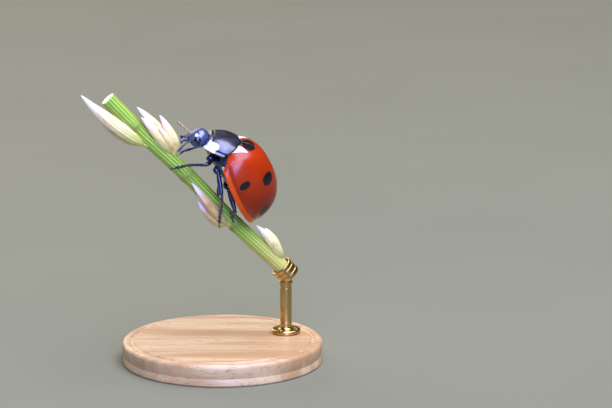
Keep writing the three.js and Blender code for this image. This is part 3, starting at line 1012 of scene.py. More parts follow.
@dataclass(frozen=True)
class GrassStem:
    """Living grass stem: waxy and ribbed, with pale ribs, dark green furrows and yellowed joints.

    It is drier and straw-coloured towards its cut lower end.
    """

    furrow: str = "#6a9026"
    rib: str = "#a6c24a"
    streak: str = "#95a837"
    joint: str = "#8b993e"
    blush: str = "#665933"
    straw: str = "#bfac5c"
    pith: str = "#e4e6b8"
    roughness: float = 0.34
    roughness_spread: float = 0.2
    index: float = 1.45
    rib_edge: Station = (0.15, 0.95)
    streak_width: float = 0.22
    streak_stretch: Point = (14, 1, 1)
    streak_edge: Station = (0.45, 0.7)
    streak_strength: float = 0.6
    dry: Station = (-3.5, -8.5)
    dry_strength: float = 0.7
    joint_edge: Station = (0.1, 0.9)
    joint_strength: float = 0.5
    blushes: Patches = Patches(0.7, 0.5, 0.7)
    pith_edge: Station = (0.3, 0.6)
    grain: float = 0.04
    grain_stretch: Point = (12, 1, 1)
    grain_depth: float = 0.004

    def build(self) -> Material:
        """Paints the material.

        Returns:
            The material.
        """
        paint = Paint("Grass_stem_waxy")
        at = paint.body()
        green = paint.layer(self.furrow, self.rib, paint.ramp(paint.mark("rib"), *self.rib_edge))
        streaks = paint.noise(at, self.streak_width, 3, self.streak_stretch)
        green = paint.layer(green, self.streak, paint.ramp(streaks, *self.streak_edge), self.streak_strength)
        green = paint.layer(green, self.straw, paint.ramp(paint.parts(at)[0], *self.dry), self.dry_strength)
        joint = paint.ramp(paint.mark("joint"), *self.joint_edge)
        green = paint.layer(green, self.joint, joint, self.joint_strength)
        blush = paint.math("MULTIPLY", joint, self.blushes.on(paint, at))
        green = paint.layer(green, self.blush, blush, self.joint_strength)
        green = paint.layer(green, self.pith, paint.ramp(paint.mark("pith"), *self.pith_edge))
        normal = paint.relief(paint.noise(at, self.grain, 2, self.grain_stretch), self.grain_depth)
        rough = paint.vary(streaks, self.roughness_spread, self.roughness)
        return paint.finish(green, rough, self.index, Normal=normal, Coat_Weight=0.15)


@dataclass(frozen=True)
class GrassHusk:
    """Papery husk of a grass flower: dry membrane with green nerves, straw flanks and a pale tip."""

    name: str
    base: str
    flank: str
    tip: str
    stripe: str = "#8ba82d"
    blush: str = "#b68151"
    roughness: Uneven = Uneven(0.3, 0.42, 0.2)
    index: float = 1.45
    ragged: Uneven = Uneven(0.5, -0.1, 0.2)
    flank_edge: Station = (0.0, 0.35)
    blushes: Patches = Patches(0.6, 0.5, 0.75, 3)
    blush_strength: float = 0.55
    tip_edge: Station = (0.6, 0.95)
    nerve_edge: Station = (0.95, 0.4)
    nerve_strength: float = 0.8
    grain: float = 0.05
    grain_stretch: Point = (10, 1, 1)
    grain_depth: float = 0.004

    def build(self) -> Material:
        """Paints the material.

        Returns:
            The material.
        """
        paint = Paint(self.name)
        at = paint.body()
        along = paint.math("ADD", paint.mark("along"), self.ragged.on(paint, at))
        colour = paint.layer(self.base, self.flank, paint.ramp(along, *self.flank_edge))
        colour = paint.layer(colour, self.blush, self.blushes.on(paint, at), self.blush_strength)
        colour = paint.layer(colour, self.tip, paint.ramp(along, *self.tip_edge))
        nerve = paint.math("MULTIPLY", paint.mark("nerve"), paint.ramp(along, *self.nerve_edge))
        colour = paint.layer(colour, self.stripe, nerve, self.nerve_strength)
        normal = paint.relief(paint.noise(at, self.grain, 2, self.grain_stretch), self.grain_depth)
        rough = self.roughness.on(paint, at)
        return paint.finish(colour, rough, self.index, Normal=normal, Sheen_Weight=0.15)


@dataclass(frozen=True)
class BeechWood:
    """Oiled beech, turned: fine straight grain along X with the short dark flecks that beech shows."""

    light: str = "#c7a97a"
    dark: str = "#a78153"
    fleck: str = "#7f5b35"
    roughness: float = 0.36
    roughness_spread: float = 0.2
    index: float = 1.5
    years: Patches = Patches(1.3, 0.35, 0.68, 3, (9, 1, 2))
    fibre: float = 0.14
    fibre_stretch: Point = (30, 1, 1)
    fibre_edge: Station = (0.45, 0.75)
    flecks: Patches = Patches(0.09, 0.68, 0.75, 0, (7, 1, 1))
    mark_strength: float = 0.5
    depth: float = 0.006

    def build(self) -> Material:
        """Paints the material.

        Returns:
            The material.
        """
        paint = Paint("Beech_oiled")
        at = paint.row()
        wood = paint.layer(self.light, self.dark, self.years.on(paint, at))
        fibres = paint.noise(at, self.fibre, 3, self.fibre_stretch)
        wood = paint.layer(wood, self.dark, paint.ramp(fibres, *self.fibre_edge), self.mark_strength)
        flecks = self.flecks.on(paint, at)
        wood = paint.layer(wood, self.fleck, flecks, self.mark_strength)
        normal = paint.relief(flecks, -self.depth, paint.relief(fibres, self.depth))
        rough = paint.vary(fibres, self.roughness_spread, self.roughness)
        return paint.finish(wood, rough, self.index, Normal=normal, Coat_Weight=0.1)


@dataclass(frozen=True)
class TurnedBrass:
    """Satin brass turned on a lathe: fine rings round the axis blur what it mirrors."""

    colour: str = "#c1a464"
    dull: str = "#997a46"
    roughness: float = 0.24
    roughness_spread: float = 0.12
    tarnish: Patches = Patches(0.8, 0.48, 0.72, 3)
    tarnish_strength: float = 0.6
    ring: float = 0.03
    ring_stretch: Point = (200, 200, 1)
    ring_depth: float = 0.002

    def build(self) -> Material:
        """Paints the material.

        Returns:
            The material.
        """
        paint = Paint("Brass_satin_turned")
        at = paint.row()
        tarnish = self.tarnish.on(paint, at)
        colour = paint.layer(self.colour, self.dull, tarnish, self.tarnish_strength)
        rings = paint.relief(paint.noise(at, self.ring, 2, self.ring_stretch), self.ring_depth)
        rough = paint.vary(tarnish, self.roughness_spread, self.roughness)
        return paint.finish(colour, rough, USUAL_INDEX, Metallic=1.0, Normal=rings)


@dataclass(frozen=True)
class BackdropPaper:
    """Matt backdrop paper, a little uneven in tone."""

    light: str = "#6e6e53"
    dark: str = "#6b6b51"
    roughness: float = 0.85
    clouds: Patches = Patches(40, 0.3, 0.7, 3)

    def build(self) -> Material:
        """Paints the material.

        Returns:
            The material.
        """
        paint = Paint("Paper_backdrop_matt")
        tone = paint.layer(self.light, self.dark, self.clouds.on(paint, paint.row()))
        return paint.finish(tone, self.roughness, USUAL_INDEX)


# ---------------- geometry nodes


class Tree:
    """A Geometry Nodes tree under construction, with named inputs."""

    def __init__(self, name: str, **inputs: str) -> None:
        """Starts a tree that takes and gives geometry, and a finish for what it makes.

        Args:
            name: name of the tree.
            inputs: kind of each named input, such as Float, with _ for a space in its name.
        """
        self.tree = bpy.data.node_groups.new(name, "GeometryNodeTree")
        face = self.tree.interface
        face.new_socket("Geometry", in_out="INPUT", socket_type="NodeSocketGeometry")
        self.sockets: dict[str, str] = {}
        for key, kind in (inputs | {"Finish": "Material"}).items():
            made = face.new_socket(key.replace("_", " "), in_out="INPUT", socket_type=f"NodeSocket{kind}")
            self.sockets[key] = made.identifier
        face.new_socket("Geometry", in_out="OUTPUT", socket_type="NodeSocketGeometry")
        self.inputs = self.tree.nodes.new("NodeGroupInput").outputs

    def add(self, kind: str, settings: dict | None = None, inputs: dict | None = None) -> Node:
        """Returns: a node added to this tree."""
        return add_node(self.tree, kind, settings, inputs)

    def vector(self, operation: str, *values: object) -> Socket:
        """Returns: the vector that a Vector Math node makes of these; a scale comes second."""
        keys = [0, "Scale"] if operation == "SCALE" else [0, 1]
        return self.add("ShaderNodeVectorMath", {"operation": operation}, dict(zip(keys, values))).outputs[0]

    def held(self, name: str) -> Socket:
        """Returns: the vector that the geometry holds under that name."""
        node = self.add("GeometryNodeInputNamedAttribute", {"data_type": "FLOAT_VECTOR"}, {"Name": name})
        return node.outputs["Attribute"]

    def store(self, geometry: Socket, name: str, value: Socket) -> Socket:
        """Stores an unwrap on the face corners.

        Args:
            geometry: mesh to store it on.
            name: name of the unwrap.
            value: place on the unwrap.

        Returns:
            The geometry that holds it.
        """
        settings = {"data_type": "FLOAT2", "domain": "CORNER"}
        inputs = {"Geometry": geometry, "Name": name, "Value": value}
        return self.add("GeometryNodeStoreNamedAttribute", settings, inputs).outputs[0]

    def realise(self, instances: Socket) -> Socket:
        """Returns: the instances as real geometry."""
        return self.add("GeometryNodeRealizeInstances", None, {0: instances}).outputs[0]

    def close(self, geometry: Socket) -> "Tree":
        """Puts the finish on the result and gives it out.

        Args:
            geometry: the result.

        Returns:
            The tree.
        """
        inputs = {0: geometry, "Material": self.inputs["Finish"]}
        dressed = self.add("GeometryNodeSetMaterial", None, inputs).outputs[0]
        self.add("NodeGroupOutput", None, {0: dressed})
        return self

    def run(self, name: str, base: Piece | None = None, **values: object) -> Piece:
        """Runs the tree and turns its result into a plain mesh.

        Args:
            name: name of the new piece.
            base: object whose mesh goes in, none if the tree doesn't need one; it is removed.
            values: value of each named input.

        Returns:
            The new piece, at the origin.
        """
        base = base or placed(f"{name}_base", bpy.data.meshes.new(f"{name}_base"))
        modifier = base.modifiers.new(self.tree.name, "NODES")
        modifier.node_group = self.tree
        for key, value in values.items():
            modifier[self.sockets[key]] = value
        graph = bpy.context.evaluated_depsgraph_get()
        mesh = bpy.data.meshes.new_from_object(base.evaluated_get(graph), depsgraph=graph)
        base.modifiers.remove(modifier)
        bpy.data.objects.remove(base)
        mesh.name = name
        return placed(name, mesh)


def bristle_tree() -> Tree:
    """The tree that plants bristles on a skin, leaning along its flow.

    Returns:
        A tree whose result holds only the bristles, each with its patch of the unwrap at its root.
    """
    sides = 4
    shortest = 0.55
    patch_size = 0.003
    kinds = dict.fromkeys(("Density", "Length", "Radius", "Lean"), "Float")
    tree = Tree("plant_bristles", **kinds, Seed="Int")
    given = tree.inputs
    spread = {"Mesh": given["Geometry"], "Density": given["Density"], "Seed": given["Seed"]}
    scatter = tree.add("GeometryNodeDistributePointsOnFaces", None, spread).outputs
    leaning = tree.vector("SCALE", tree.held("flow"), given["Lean"])
    direction = tree.vector("NORMALIZE", tree.vector("ADD", scatter["Normal"], leaning))
    turn = tree.add("FunctionNodeAlignRotationToVector", {"axis": "Z"}, {"Vector": direction}).outputs[0]
    sizes = {"Vertices": sides, "Radius Top": 0.0, "Radius Bottom": given["Radius"], "Depth": given["Length"]}
    cone = tree.add("GeometryNodeMeshCone", None, sizes).outputs
    tuft = tree.store(cone["Mesh"], "tuft", cone["UV Map"])
    size = tree.add("FunctionNodeRandomValue", None, {2: shortest, 3: 1.0, "Seed": given["Seed"]}).outputs[1]
    places = {"Points": scatter["Points"], "Instance": tuft, "Rotation": turn, "Scale": size}
    planted = tree.add("GeometryNodeInstanceOnPoints", None, places).outputs[0]
    real = tree.realise(planted)
    root = tree.vector("ADD", tree.held("root"), tree.vector("SCALE", tree.held("tuft"), patch_size))
    return tree.close(tree.store(real, "OFBake", root))


def lens_tree() -> Tree:
    """The tree that makes an eye, a ball of six-sided lenses squeezed to its shape.

    Returns:
        The tree.
    """
    tree = Tree("facet_eye", Rows="Int", Lens_height="Float", Lens_share="Float", Semi_axes="Vector")
    given = tree.inputs
    globe = tree.add("GeometryNodeMeshIcoSphere", None, {"Radius": 1.0, "Subdivisions": given["Rows"]})
    comb = tree.add("GeometryNodeDualMesh", None, {0: globe.outputs["Mesh"]}).outputs[0]
    tall = {"Mesh": comb, "Offset Scale": given["Lens height"]}
    raised = tree.add("GeometryNodeExtrudeMesh", None, tall).outputs
    tops = {"Geometry": raised[0], "Selection": raised["Top"], "Scale": given["Lens share"]}
    lenses = tree.add("GeometryNodeScaleElements", None, tops).outputs[0]
    shaped = tree.add("GeometryNodeTransform", None, {0: lenses, "Scale": given["Semi axes"]}).outputs[0]
    return tree.close(tree.realise(shaped))


def circle_tree() -> Tree:
    """The tree that sets copies of a small part in a circle about the Z axis.

    Returns:
        The tree.
    """
    step = 2.4
    tree = Tree("set_in_circle", Count="Int", Radius="Float", Part="Object")
    given = tree.inputs
    ring = {"Vertices": given["Count"], "Radius": given["Radius"]}
    points = tree.add("GeometryNodeMeshCircle", None, ring).outputs[0]
    part = tree.add("GeometryNodeObjectInfo", None, {"Object": given["Part"]}).outputs["Geometry"]
    number = tree.add("GeometryNodeInputIndex").outputs[0]
    spin = tree.add("ShaderNodeMath", {"operation": "MULTIPLY"}, {0: number, 1: step}).outputs[0]
    turn = tree.add("ShaderNodeCombineXYZ", None, {2: spin}).outputs[0]
    places = {"Points": points, "Instance": part, "Rotation": turn}
    return tree.close(tree.realise(tree.add("GeometryNodeInstanceOnPoints", None, places).outputs[0]))


# ---------------- wing cases


@dataclass
class WingCases:
    """The two wing cases: one dome parted along the back, with a flared rim and a beaded edge."""

    finish: Material
    apex_x: float = -3.95
    base_x: float = 1.75
    widest_x: float = -0.35
    highest_x: float = -0.213
    half_span: float = 2.72
    rise: float = 3.29
    shoulder_reach: float = 2.48
    front_reach: float = 2.68
    rear_power: float = 1.962
    shoulder_power: float = 2.8
    crown_power: float = 2.376
    rim_low: float = 0.3
    rim_high: float = 1.087
    rim_power: float = 1.5
    sweep: float = 0.16
    corner_from: float = math.radians(58)
    corner_depth: float = 0.62
    body_power: float = 2.0
    front_power: float = 2.45
    gap: float = 0.03
    shell: float = 0.2
    flange: float = 0.46
    flange_turn: Station = (0.03, 0.24)
    front_share: float = 0.3
    front_part: float = 0.16
    bead: float = 0.045
    bead_points: int = 6
    bead_line: Ridge = Ridge(0.022, 0.05, 0.06)
    bead_start: float = 0.4
    gutter: Ridge = Ridge(-0.085, 0.43, 0.2)
    gutter_rear: float = 0.45
    gutter_fade: Station = (-3.4, 0.4)
    gutter_start: Station = (0.15, 0.9)
    suture: Ridge = Ridge(-0.03, 0, 0.05)
    shoulder: Point = (1.0, 1.85, 2.2)
    shoulder_swell: Ridge = Ridge(0.05, 0, 0.45)
    waves: Waves = Waves(0.004, 1.1, 3)
    front_roll: float = 0.07
    front_roll_width: float = 0.09
    tip_fade: Station = (0.05, 0.6)
    front_margin: float = 0.3
    rows: int = 120
    columns: int = 84

    def half_width(self, x: Array) -> Array:
        """Half the width of the wing cases.

        Args:
            x: sections.

        Returns:
            The half-width there.
        """
        rear = np.clip((self.widest_x - x) / (self.widest_x - self.apex_x), 0, 1)
        front = np.clip((x - self.widest_x) / self.shoulder_reach, 0, 1)
        power = self.shoulder_power
        behind = np.sqrt(1 - rear**self.rear_power)
        return self.half_span * np.where(x < self.widest_x, behind, (1 - front**power) ** (1 / power))

    def rim_height(self, x: Array) -> Array:
        """Returns: height of the side rim at these sections."""
        share = np.clip((x - self.apex_x) / (self.base_x - self.apex_x), 0, None)
        return lerp(self.rim_low, self.rim_high, share**self.rim_power)

    def crown_height(self, x: Array) -> Array:
        """Height of the crown above the side rim.

        Args:
            x: sections.

        Returns:
            The height there.
        """
        rear = np.clip((self.highest_x - x) / (self.highest_x - self.apex_x), 0, 1)
        front = np.clip((x - self.highest_x) / self.front_reach, 0, 1)
        behind = (1 - rear**self.crown_power) ** (1 / self.crown_power)
        full = self.rise * np.where(x < self.highest_x, behind, np.sqrt(1 - front**2))
        return np.maximum(full - (self.rim_height(x) - self.rim_low), 0)

    def dome(self, x: Array, angle: Array, inset: Number = 0.0) -> Array:
        """Points of the dome.

        Args:
            x: sections.
            angle: angles from the crown.
            inset: how far inside the outer face the points lie.

        Returns:
            The points.
        """
        power = lerp(self.body_power, self.front_power, smoothstep(x, self.widest_x, self.base_x))
        wide = squarer(np.sin(angle), power) * (1 - inset / self.half_span)
        high = squarer(np.cos(angle), power) * (1 - inset / self.rise)
        along = self.base_x + (x - self.base_x) * (1 - inset / (self.base_x - self.apex_x))
        height = self.rim_height(x) + self.crown_height(x) * high
        return np.stack([along, self.half_width(x) * wide, height], -1)

    def station(self, share: Array, angle: Array) -> Array:
        """The section at a share of the way from the front edge to the tip.

        Args:
            share: shares of the way.
            angle: angles from the crown.

        Returns:
            The sections.
        """
        corner = np.clip((angle - self.corner_from) / (math.pi / 2 - self.corner_from), 0, None)
        front = self.base_x + self.sweep * np.sin(angle) ** 2 - self.corner_depth * corner**2
        return lerp(front, self.apex_x, np.sin(share * math.pi / 2))

    def outer_face(self, x: Array, angle: Array) -> tuple[Array, Array]:
        """The outer face with its gutter, beads and shoulder.

        Args:
            x: sections, as a grid.
            angle: angles from the crown, as a grid.

        Returns:
            The points, and their distance from the side margin.
        """
        base = self.dome(x, angle)
        normal = outward(base, (self.widest_x, 0, self.rim_high))
        from_suture, from_front = run_length(base, 1), run_length(base, 0)
        margin = from_suture[:, -1:] - from_suture
        depth = lerp(self.gutter_rear, 1.0, smoothstep(x, *self.gutter_fade))
        height = self.gutter.over(margin) * depth * smoothstep(from_front, *self.gutter_start)
        height += self.bead_line.over(margin) * smoothstep(from_front, 0.0, self.bead_start)
        height += self.suture.over(from_suture)
        height += self.shoulder_swell.over(np.linalg.norm(base - self.shoulder, axis=-1))
        height += self.waves.over(base)
        height -= self.front_roll * (1 - smoothstep(from_front, 0, self.front_roll_width))
        outer = base + normal * (height * smoothstep(self.half_width(x), *self.tip_fade))[..., None]
        return outer, margin + self.front_margin * (1 - smoothstep(from_front, *self.tip_fade))

    def case(self, side: int) -> Shape:
        """One wing case.

        Args:
            side: 1 for the left one, -1 for the right one.

        Returns:
            The shape, with its distance from the side margin marked.
        """
        along = np.linspace(0, 1, self.rows)
        share, angle = grid_of(along, np.linspace(0, math.pi / 2, self.columns))
        outer, margin = self.outer_face(self.station(share, angle), angle)
        turn = np.linspace(0, math.pi, self.bead_points + 1)[1:]
        edge = outer[:, -1:]
        inwards = self.bead * np.stack([0 * turn, np.cos(turn) - 1, -np.sin(turn)], -1)
        outer = np.concatenate([outer, edge + inwards * smoothstep(edge[..., 1:2], 0.0, 4 * self.bead)], 1)
        share, angle = grid_of(along, np.linspace(0, math.pi / 2, outer.shape[1]))
        inset = lerp(self.flange, self.shell, smoothstep(math.pi / 2 - angle, *self.flange_turn))
        inset *= lerp(self.front_share, 1.0, smoothstep(share, 0.0, self.front_part))
        inner = self.dome(self.station(share, angle), angle, inset)
        for face in (outer, inner):
            face[..., 1] = side * (face[..., 1] + self.gap / 2)
        return Shape().plate(outer, inner, {"margin": np.pad(margin, ((0, 0), (0, self.bead_points)))})

    def build(self) -> None:
        """Makes and dresses both wing cases."""
        for word, side in SIDES.items():
            self.case(side).piece(f"elytron_{word}_shell", [self.finish], "wing_case", f"elytron_{word}")


@dataclass
class Scutellum:
    """The small black triangle between the bases of the wing cases."""

    finish: Material
    tip: Point = (1.77, 0, 2.43)
    length: float = 0.62
    half_base: float = 0.34
    slope: float = math.radians(30)
    crown: float = 0.05
    depth: float = 0.24
    points: int = 36
    steps: tuple[float, ...] = (1, 1, 0.97, 0.9, 0.72, 0.5, 0.25, 0.0)

    def build(self) -> None:
        """Makes and dresses the plate."""
        side = self.half_base
        corners = np.array([(0, -side), (0, side), (-self.length, 0), (0, -side)])
        at = np.linspace(0, 3, self.points, endpoint=False)
        outline = np.stack([np.interp(at, range(4), corners[:, i]) for i in (0, 1)], -1)
        middle = corners[:3].mean(0)
        shrink = np.array(self.steps)
        height = self.crown * (1 - shrink**2)
        height[0] = -self.depth
        grid = levels(middle + (outline - middle) * shrink[:, None, None], height)
        grid = grid @ np.array(Matrix.Rotation(self.slope, 3, "Y")).T + np.array(self.tip)
        Shape().rings(grid).piece("scutellum_plate", [self.finish], "black_chitin", "scutellum")


# ---------------- shield and trunk


@dataclass(frozen=True)
class Arch:
    """An arch across the body, given by its crown and half-span."""

    x: float
    centre_z: float
    rise: float
    span: float
    sweep: float

    def at(self, angle: Array, power: float) -> Array:
        """Points of the arch.

        Args:
            angle: angles from the crown.
            power: how square it is; 2 is an ellipse.

        Returns:
            The points.
        """
        sine, cosine = np.sin(angle), np.cos(angle)
        y, z = self.span * squarer(sine, power), self.centre_z + self.rise * squarer(cosine, power)
        return np.stack([self.x + self.sweep * sine**2, y, z], -1)


@dataclass
class Shield:
    """The pronotum: a plate bowed across and along, with beaded edges and white front corners."""

    finish: Material
    hind: Arch = Arch(1.79, 1.2, 1.37, 1.88, 0.16)
    front: Arch = Arch(3.36, 0.28, 0.81, 1.28, -0.26)
    middle: Point = (2.5, 0, 0)
    power: float = 2.5
    bulge: float = 0.2
    lean: float = 0.45
    edge: float = math.radians(86)
    shell: float = 0.2
    side_lines: tuple[Ridge, ...] = (Ridge(0.03, 0.07, 0.07), Ridge(-0.05, 0.26, 0.12))
    front_lines: tuple[Ridge, ...] = (Ridge(0.018, 0.08, 0.05), Ridge(-0.018, 0.2, 0.07))
    waves: Waves = Waves(0.003, 0.8, 5)
    roll: float = 0.06
    rows: int = 48
    columns: int = 128

    def face(self, share: Array, angle: Array, inset: float = 0.0) -> Array:
        """Points of the plate.

        Args:
            share: shares of the way from the hind to the front edge.
            angle: angles from the crown.
            inset: how far inside the outer face the points lie.

        Returns:
            The points.
        """
        hind, front = self.hind.at(angle, self.power), self.front.at(angle, self.power)
        points = lerp(hind, front, share[..., None])
        out = unit(np.stack([self.lean * np.cos(angle), np.sin(angle), np.cos(angle)], -1))
        points = points + out * (self.bulge * np.sin(math.pi * share) - inset)[..., None]
        points[..., 0] = np.maximum(points[..., 0], hind[..., 0])
        return points

    def build(self) -> None:
        """Makes and dresses the plate."""
        angles = np.linspace(-self.edge, self.edge, self.columns)
        share, angle = grid_of(np.linspace(0, 1, self.rows), angles)
        base = self.face(share, angle)
        length = np.linalg.norm(base[-1] - base[0], axis=-1)
        from_hind, from_front, run = share * length, (1 - share) * length, run_length(base, 1)
        from_side = np.minimum(run, run[:, -1:] - run)
        height = sum(line.over(from_side) for line in self.side_lines)
        height += sum(line.over(from_front) for line in self.front_lines)
        height += self.waves.over(base)
        for distance in (from_hind, from_front, from_side):
            height -= self.roll * (1 - smoothstep(distance, 0, self.roll))
        outer = base + outward(base, self.middle) * height[..., None]
        plate = Shape().plate(outer, self.face(share, angle, self.shell))
        plate.piece("pronotum_shield", [self.finish], "black_chitin", "pronotum")


@dataclass(frozen=True)
class Hip:
    """A pair of hip sockets that stand out of the underside; Y counts outwards from the middle."""

    centre: Point
    semi_axes: Point
    yaw: float
    rows: int = 18
    columns: int = 24

    def add(self, shape: Shape) -> Shape:
        """Adds both sockets to a part of the trunk.

        Args:
            shape: shape of that part.

        Returns:
            The same shape.
        """
        for side in SIDES.values():
            turn = Matrix.Rotation(side * self.yaw, 4, "Z")
            shape.rings(ball(on_side(self.centre, side), self.semi_axes, turn, self.rows, self.columns))
        return shape


@dataclass
class Trunk:
    """The body under the shells: forebody, thorax with its plates, and the belly in its rings."""

    cases: WingCases
    shield: Shield
    marked: Material
    plain: Material
    front_x: float = 1.72
    waist_x: float = 0.08
    lap: float = 0.03
    inset: float = 0.53
    clearance: float = 0.39
    shield_margin: float = 0.06
    belly_front: float = 0.1
    belly_rear: float = 0.16
    keel_power: float = 1.2
    relief_fade: Station = (-0.02, 0.05)
    groove: float = 0.035
    plate_swell: float = 0.04
    side_line: Station = (1.3, 0.12)
    fore_line: Station = (1.18, 0.1)
    hind_line: Station = (0.3, -0.12)
    hind_groove: float = 0.03
    belly_rings: int = 6
    ring_bow: float = 0.1
    ring_step: float = 0.05
    ring_power: float = 1.4
    waves: Waves = Waves(0.01, 0.7, 9)
    front_hip: Hip = Hip((1.9, 0.62, 0.24), (0.3, 0.26, 0.3), 0.5)
    middle_hip: Hip = Hip((1.0, 0.86, 0.22), (0.3, 0.34, 0.26), 0.3)
    hind_hip: Hip = Hip((-0.28, 0.8, 0.16), (0.24, 0.6, 0.16), 0.1)
    fore_rows: int = 28
    chest_rows: int = 64
    belly_rows: int = 130
    columns: int = 144

    def keel(self, share: Array) -> Array:
        """Returns: share of the keel's depth at a share of its half-width."""
        return np.clip(1 - np.abs(share) ** self.keel_power, 0, 1) ** (1 / self.keel_power)

    def section(self, x: Array) -> Array:
        """Rings of the trunk, under the wing cases and down to the keel.

        Args:
            x: sections.

        Returns:
            The rings there.
        """
        grid_x, angle = grid_of(x, circle(self.columns))
        points = self.cases.dome(grid_x, angle, self.inset)
        share = np.clip((self.cases.base_x - grid_x) / (self.cases.base_x - self.cases.apex_x), 0, 1)
        rim = self.cases.rim_height(grid_x)
        depth = rim - lerp(self.belly_front, self.belly_rear, share)
        points[..., 2] = np.where(np.cos(angle) < 0, rim - depth * self.keel(np.sin(angle)), points[..., 2])
        return points

    def carved(self, grid: Array, height: Callable[[Array], Array]) -> Array:
        """Raises and sinks the underside.

        Args:
            grid: rings of a part of the trunk.
            height: function that gives the height at each place.

        Returns:
            The rings, with the relief on their lower half.
        """
        normal = outward(grid, grid.mean(1, keepdims=True), closed=True)
        share = smoothstep(self.cases.rim_height(grid[..., 0]) - grid[..., 2], *self.relief_fade)
        return grid + normal * (height(grid) * share)[..., None]

    def thorax_relief(self, at: Array) -> Array:
        """Height of the chest plates, which swell to the middle between sunk lines.

        Args:
            at: places on the insect.

        Returns:
            The height there.
        """
        x, y = at[..., 0], np.abs(at[..., 1])
        lines = bump(y, self.groove)
        lines += bump(x - self.fore_line[0] - self.fore_line[1] * y, self.groove)
        lines += bump(y - self.side_line[0] - self.side_line[1] * (1 - x), self.groove)
        lines += bump(x - self.hind_line[0] - self.hind_line[1] * np.cos(2 * y), self.hind_groove)
        swell = self.plate_swell * (1 - smoothstep(y, 0, self.side_line[0]))
        return swell - self.groove * np.minimum(lines, 1.0)

    def belly_relief(self, at: Array) -> Array:
        """Height of the belly's rings, each of which laps over the next one.

        Args:
            at: places on the insect.

        Returns:
            The height there.
        """
        behind = self.waist_x - at[..., 0] - self.ring_bow * np.cos(at[..., 1])
        run = behind / (self.waist_x - self.cases.apex_x) * self.belly_rings
        return self.ring_step * ((run - np.floor(run)) ** self.ring_power - 0.5) + self.waves.over(at)

    def forebody(self) -> Array:
        """Rings of the forebody, which fills the shield above and is a shallow keel below.

        Returns:
            The rings.
        """
        share = np.linspace(0, 1, self.fore_rows)
        reach = self.shield.edge - self.shield_margin
        x, side, rim = self.shield.face(share, np.full_like(share, reach), self.clearance).T[..., None]
        grid_share, turn = grid_of(share, np.linspace(0, 1, self.columns // 2))
        above = self.shield.face(grid_share, reach * (1 - 2 * turn), self.clearance)
        across = -np.cos(turn * math.pi)
        depth = (rim - self.belly_front) * self.keel(across)
        below = np.stack([np.broadcast_to(x, across.shape), side * across, rim - depth], -1)
        return np.concatenate([above, below[:, 1:-1]], 1)

    def build(self) -> None:
        """Makes and dresses the three parts of the trunk, of which the thorax has pale flank marks."""
        chest = lerp(self.front_x, self.waist_x + self.lap, np.linspace(0, 1, self.chest_rows))
        along = np.sin(np.linspace(0, math.pi / 2, self.belly_rows))
        belly = lerp(self.waist_x - self.lap, self.cases.apex_x, along)
        parts = {
            "prothorax": (self.forebody(), self.front_hip, self.plain),
            "thorax": (self.carved(self.section(chest), self.thorax_relief), self.middle_hip, self.marked),
            "abdomen": (self.carved(self.section(belly), self.belly_relief), self.hind_hip, self.plain),
        }
        for node, (grid, hip, finish) in parts.items():
            hip.add(Shape().rings(grid)).piece(f"{node}_underside", [finish], "black_chitin", node)


# ---------------- grass


@dataclass(frozen=True)
class Husk:
    """One floret of a spikelet; its places run along the stem, above its middle and to its left."""

    base: Point
    tip: Point
    half_width: float
    bow: Point
    fullest: float = 0.75
    roundness: float = 0.7

    def width(self, share: Array) -> Array:
        """Returns: half the floret's width at these shares of its length."""
        return self.half_width * np.sin(math.pi * np.clip(share, 0, 1) ** self.fullest) ** self.roundness


SPIKELETS = {
    "fore": (
        Husk((2.9, 0.55, 0), (6.1, 1.85, 0.1), 0.43, (0, 0.22, 0)),
        Husk((3.3, 0.6, -0.1), (7.6, 1.07, 0), 0.45, (0, 0.2, 0)),
        Husk((3.4, 0.5, 0.2), (6.9, 0.85, 0.3), 0.42, (0, 0.1, 0.1)),
        Husk((3.5, 0.7, 0.3), (5.7, 1.35, 0.5), 0.27, (0, 0.1, 0.1)),
    ),
    "aft": (
        Husk((-8, 0.5, 0), (-4.75, 0.95, 0), 0.42, (0, 0.3, 0)),
        Husk((-7.6, 0.55, -0.1), (-5.4, 1.25, -0.1), 0.38, (0, 0.15, 0)),
    ),
    "near": (
        Husk((-3.1, -0.3, 0.5), (1.03, 0.15, 0.8), 0.4, (0, -0.1, 0.25)),
        Husk((-3.2, -0.5, 0.35), (-0.4, -0.6, 0.55), 0.42, (0, -0.25, 0.1)),
    ),
    "under": (
        Husk((5.3, -0.4, 0.45), (11, -1, 0.5), 0.56, (0, -0.2, 0.3)),
        Husk((5.4, -0.5, 0.3), (9.4, -1.45, 0.3), 0.46, (0, -0.3, 0.1)),
    ),
}


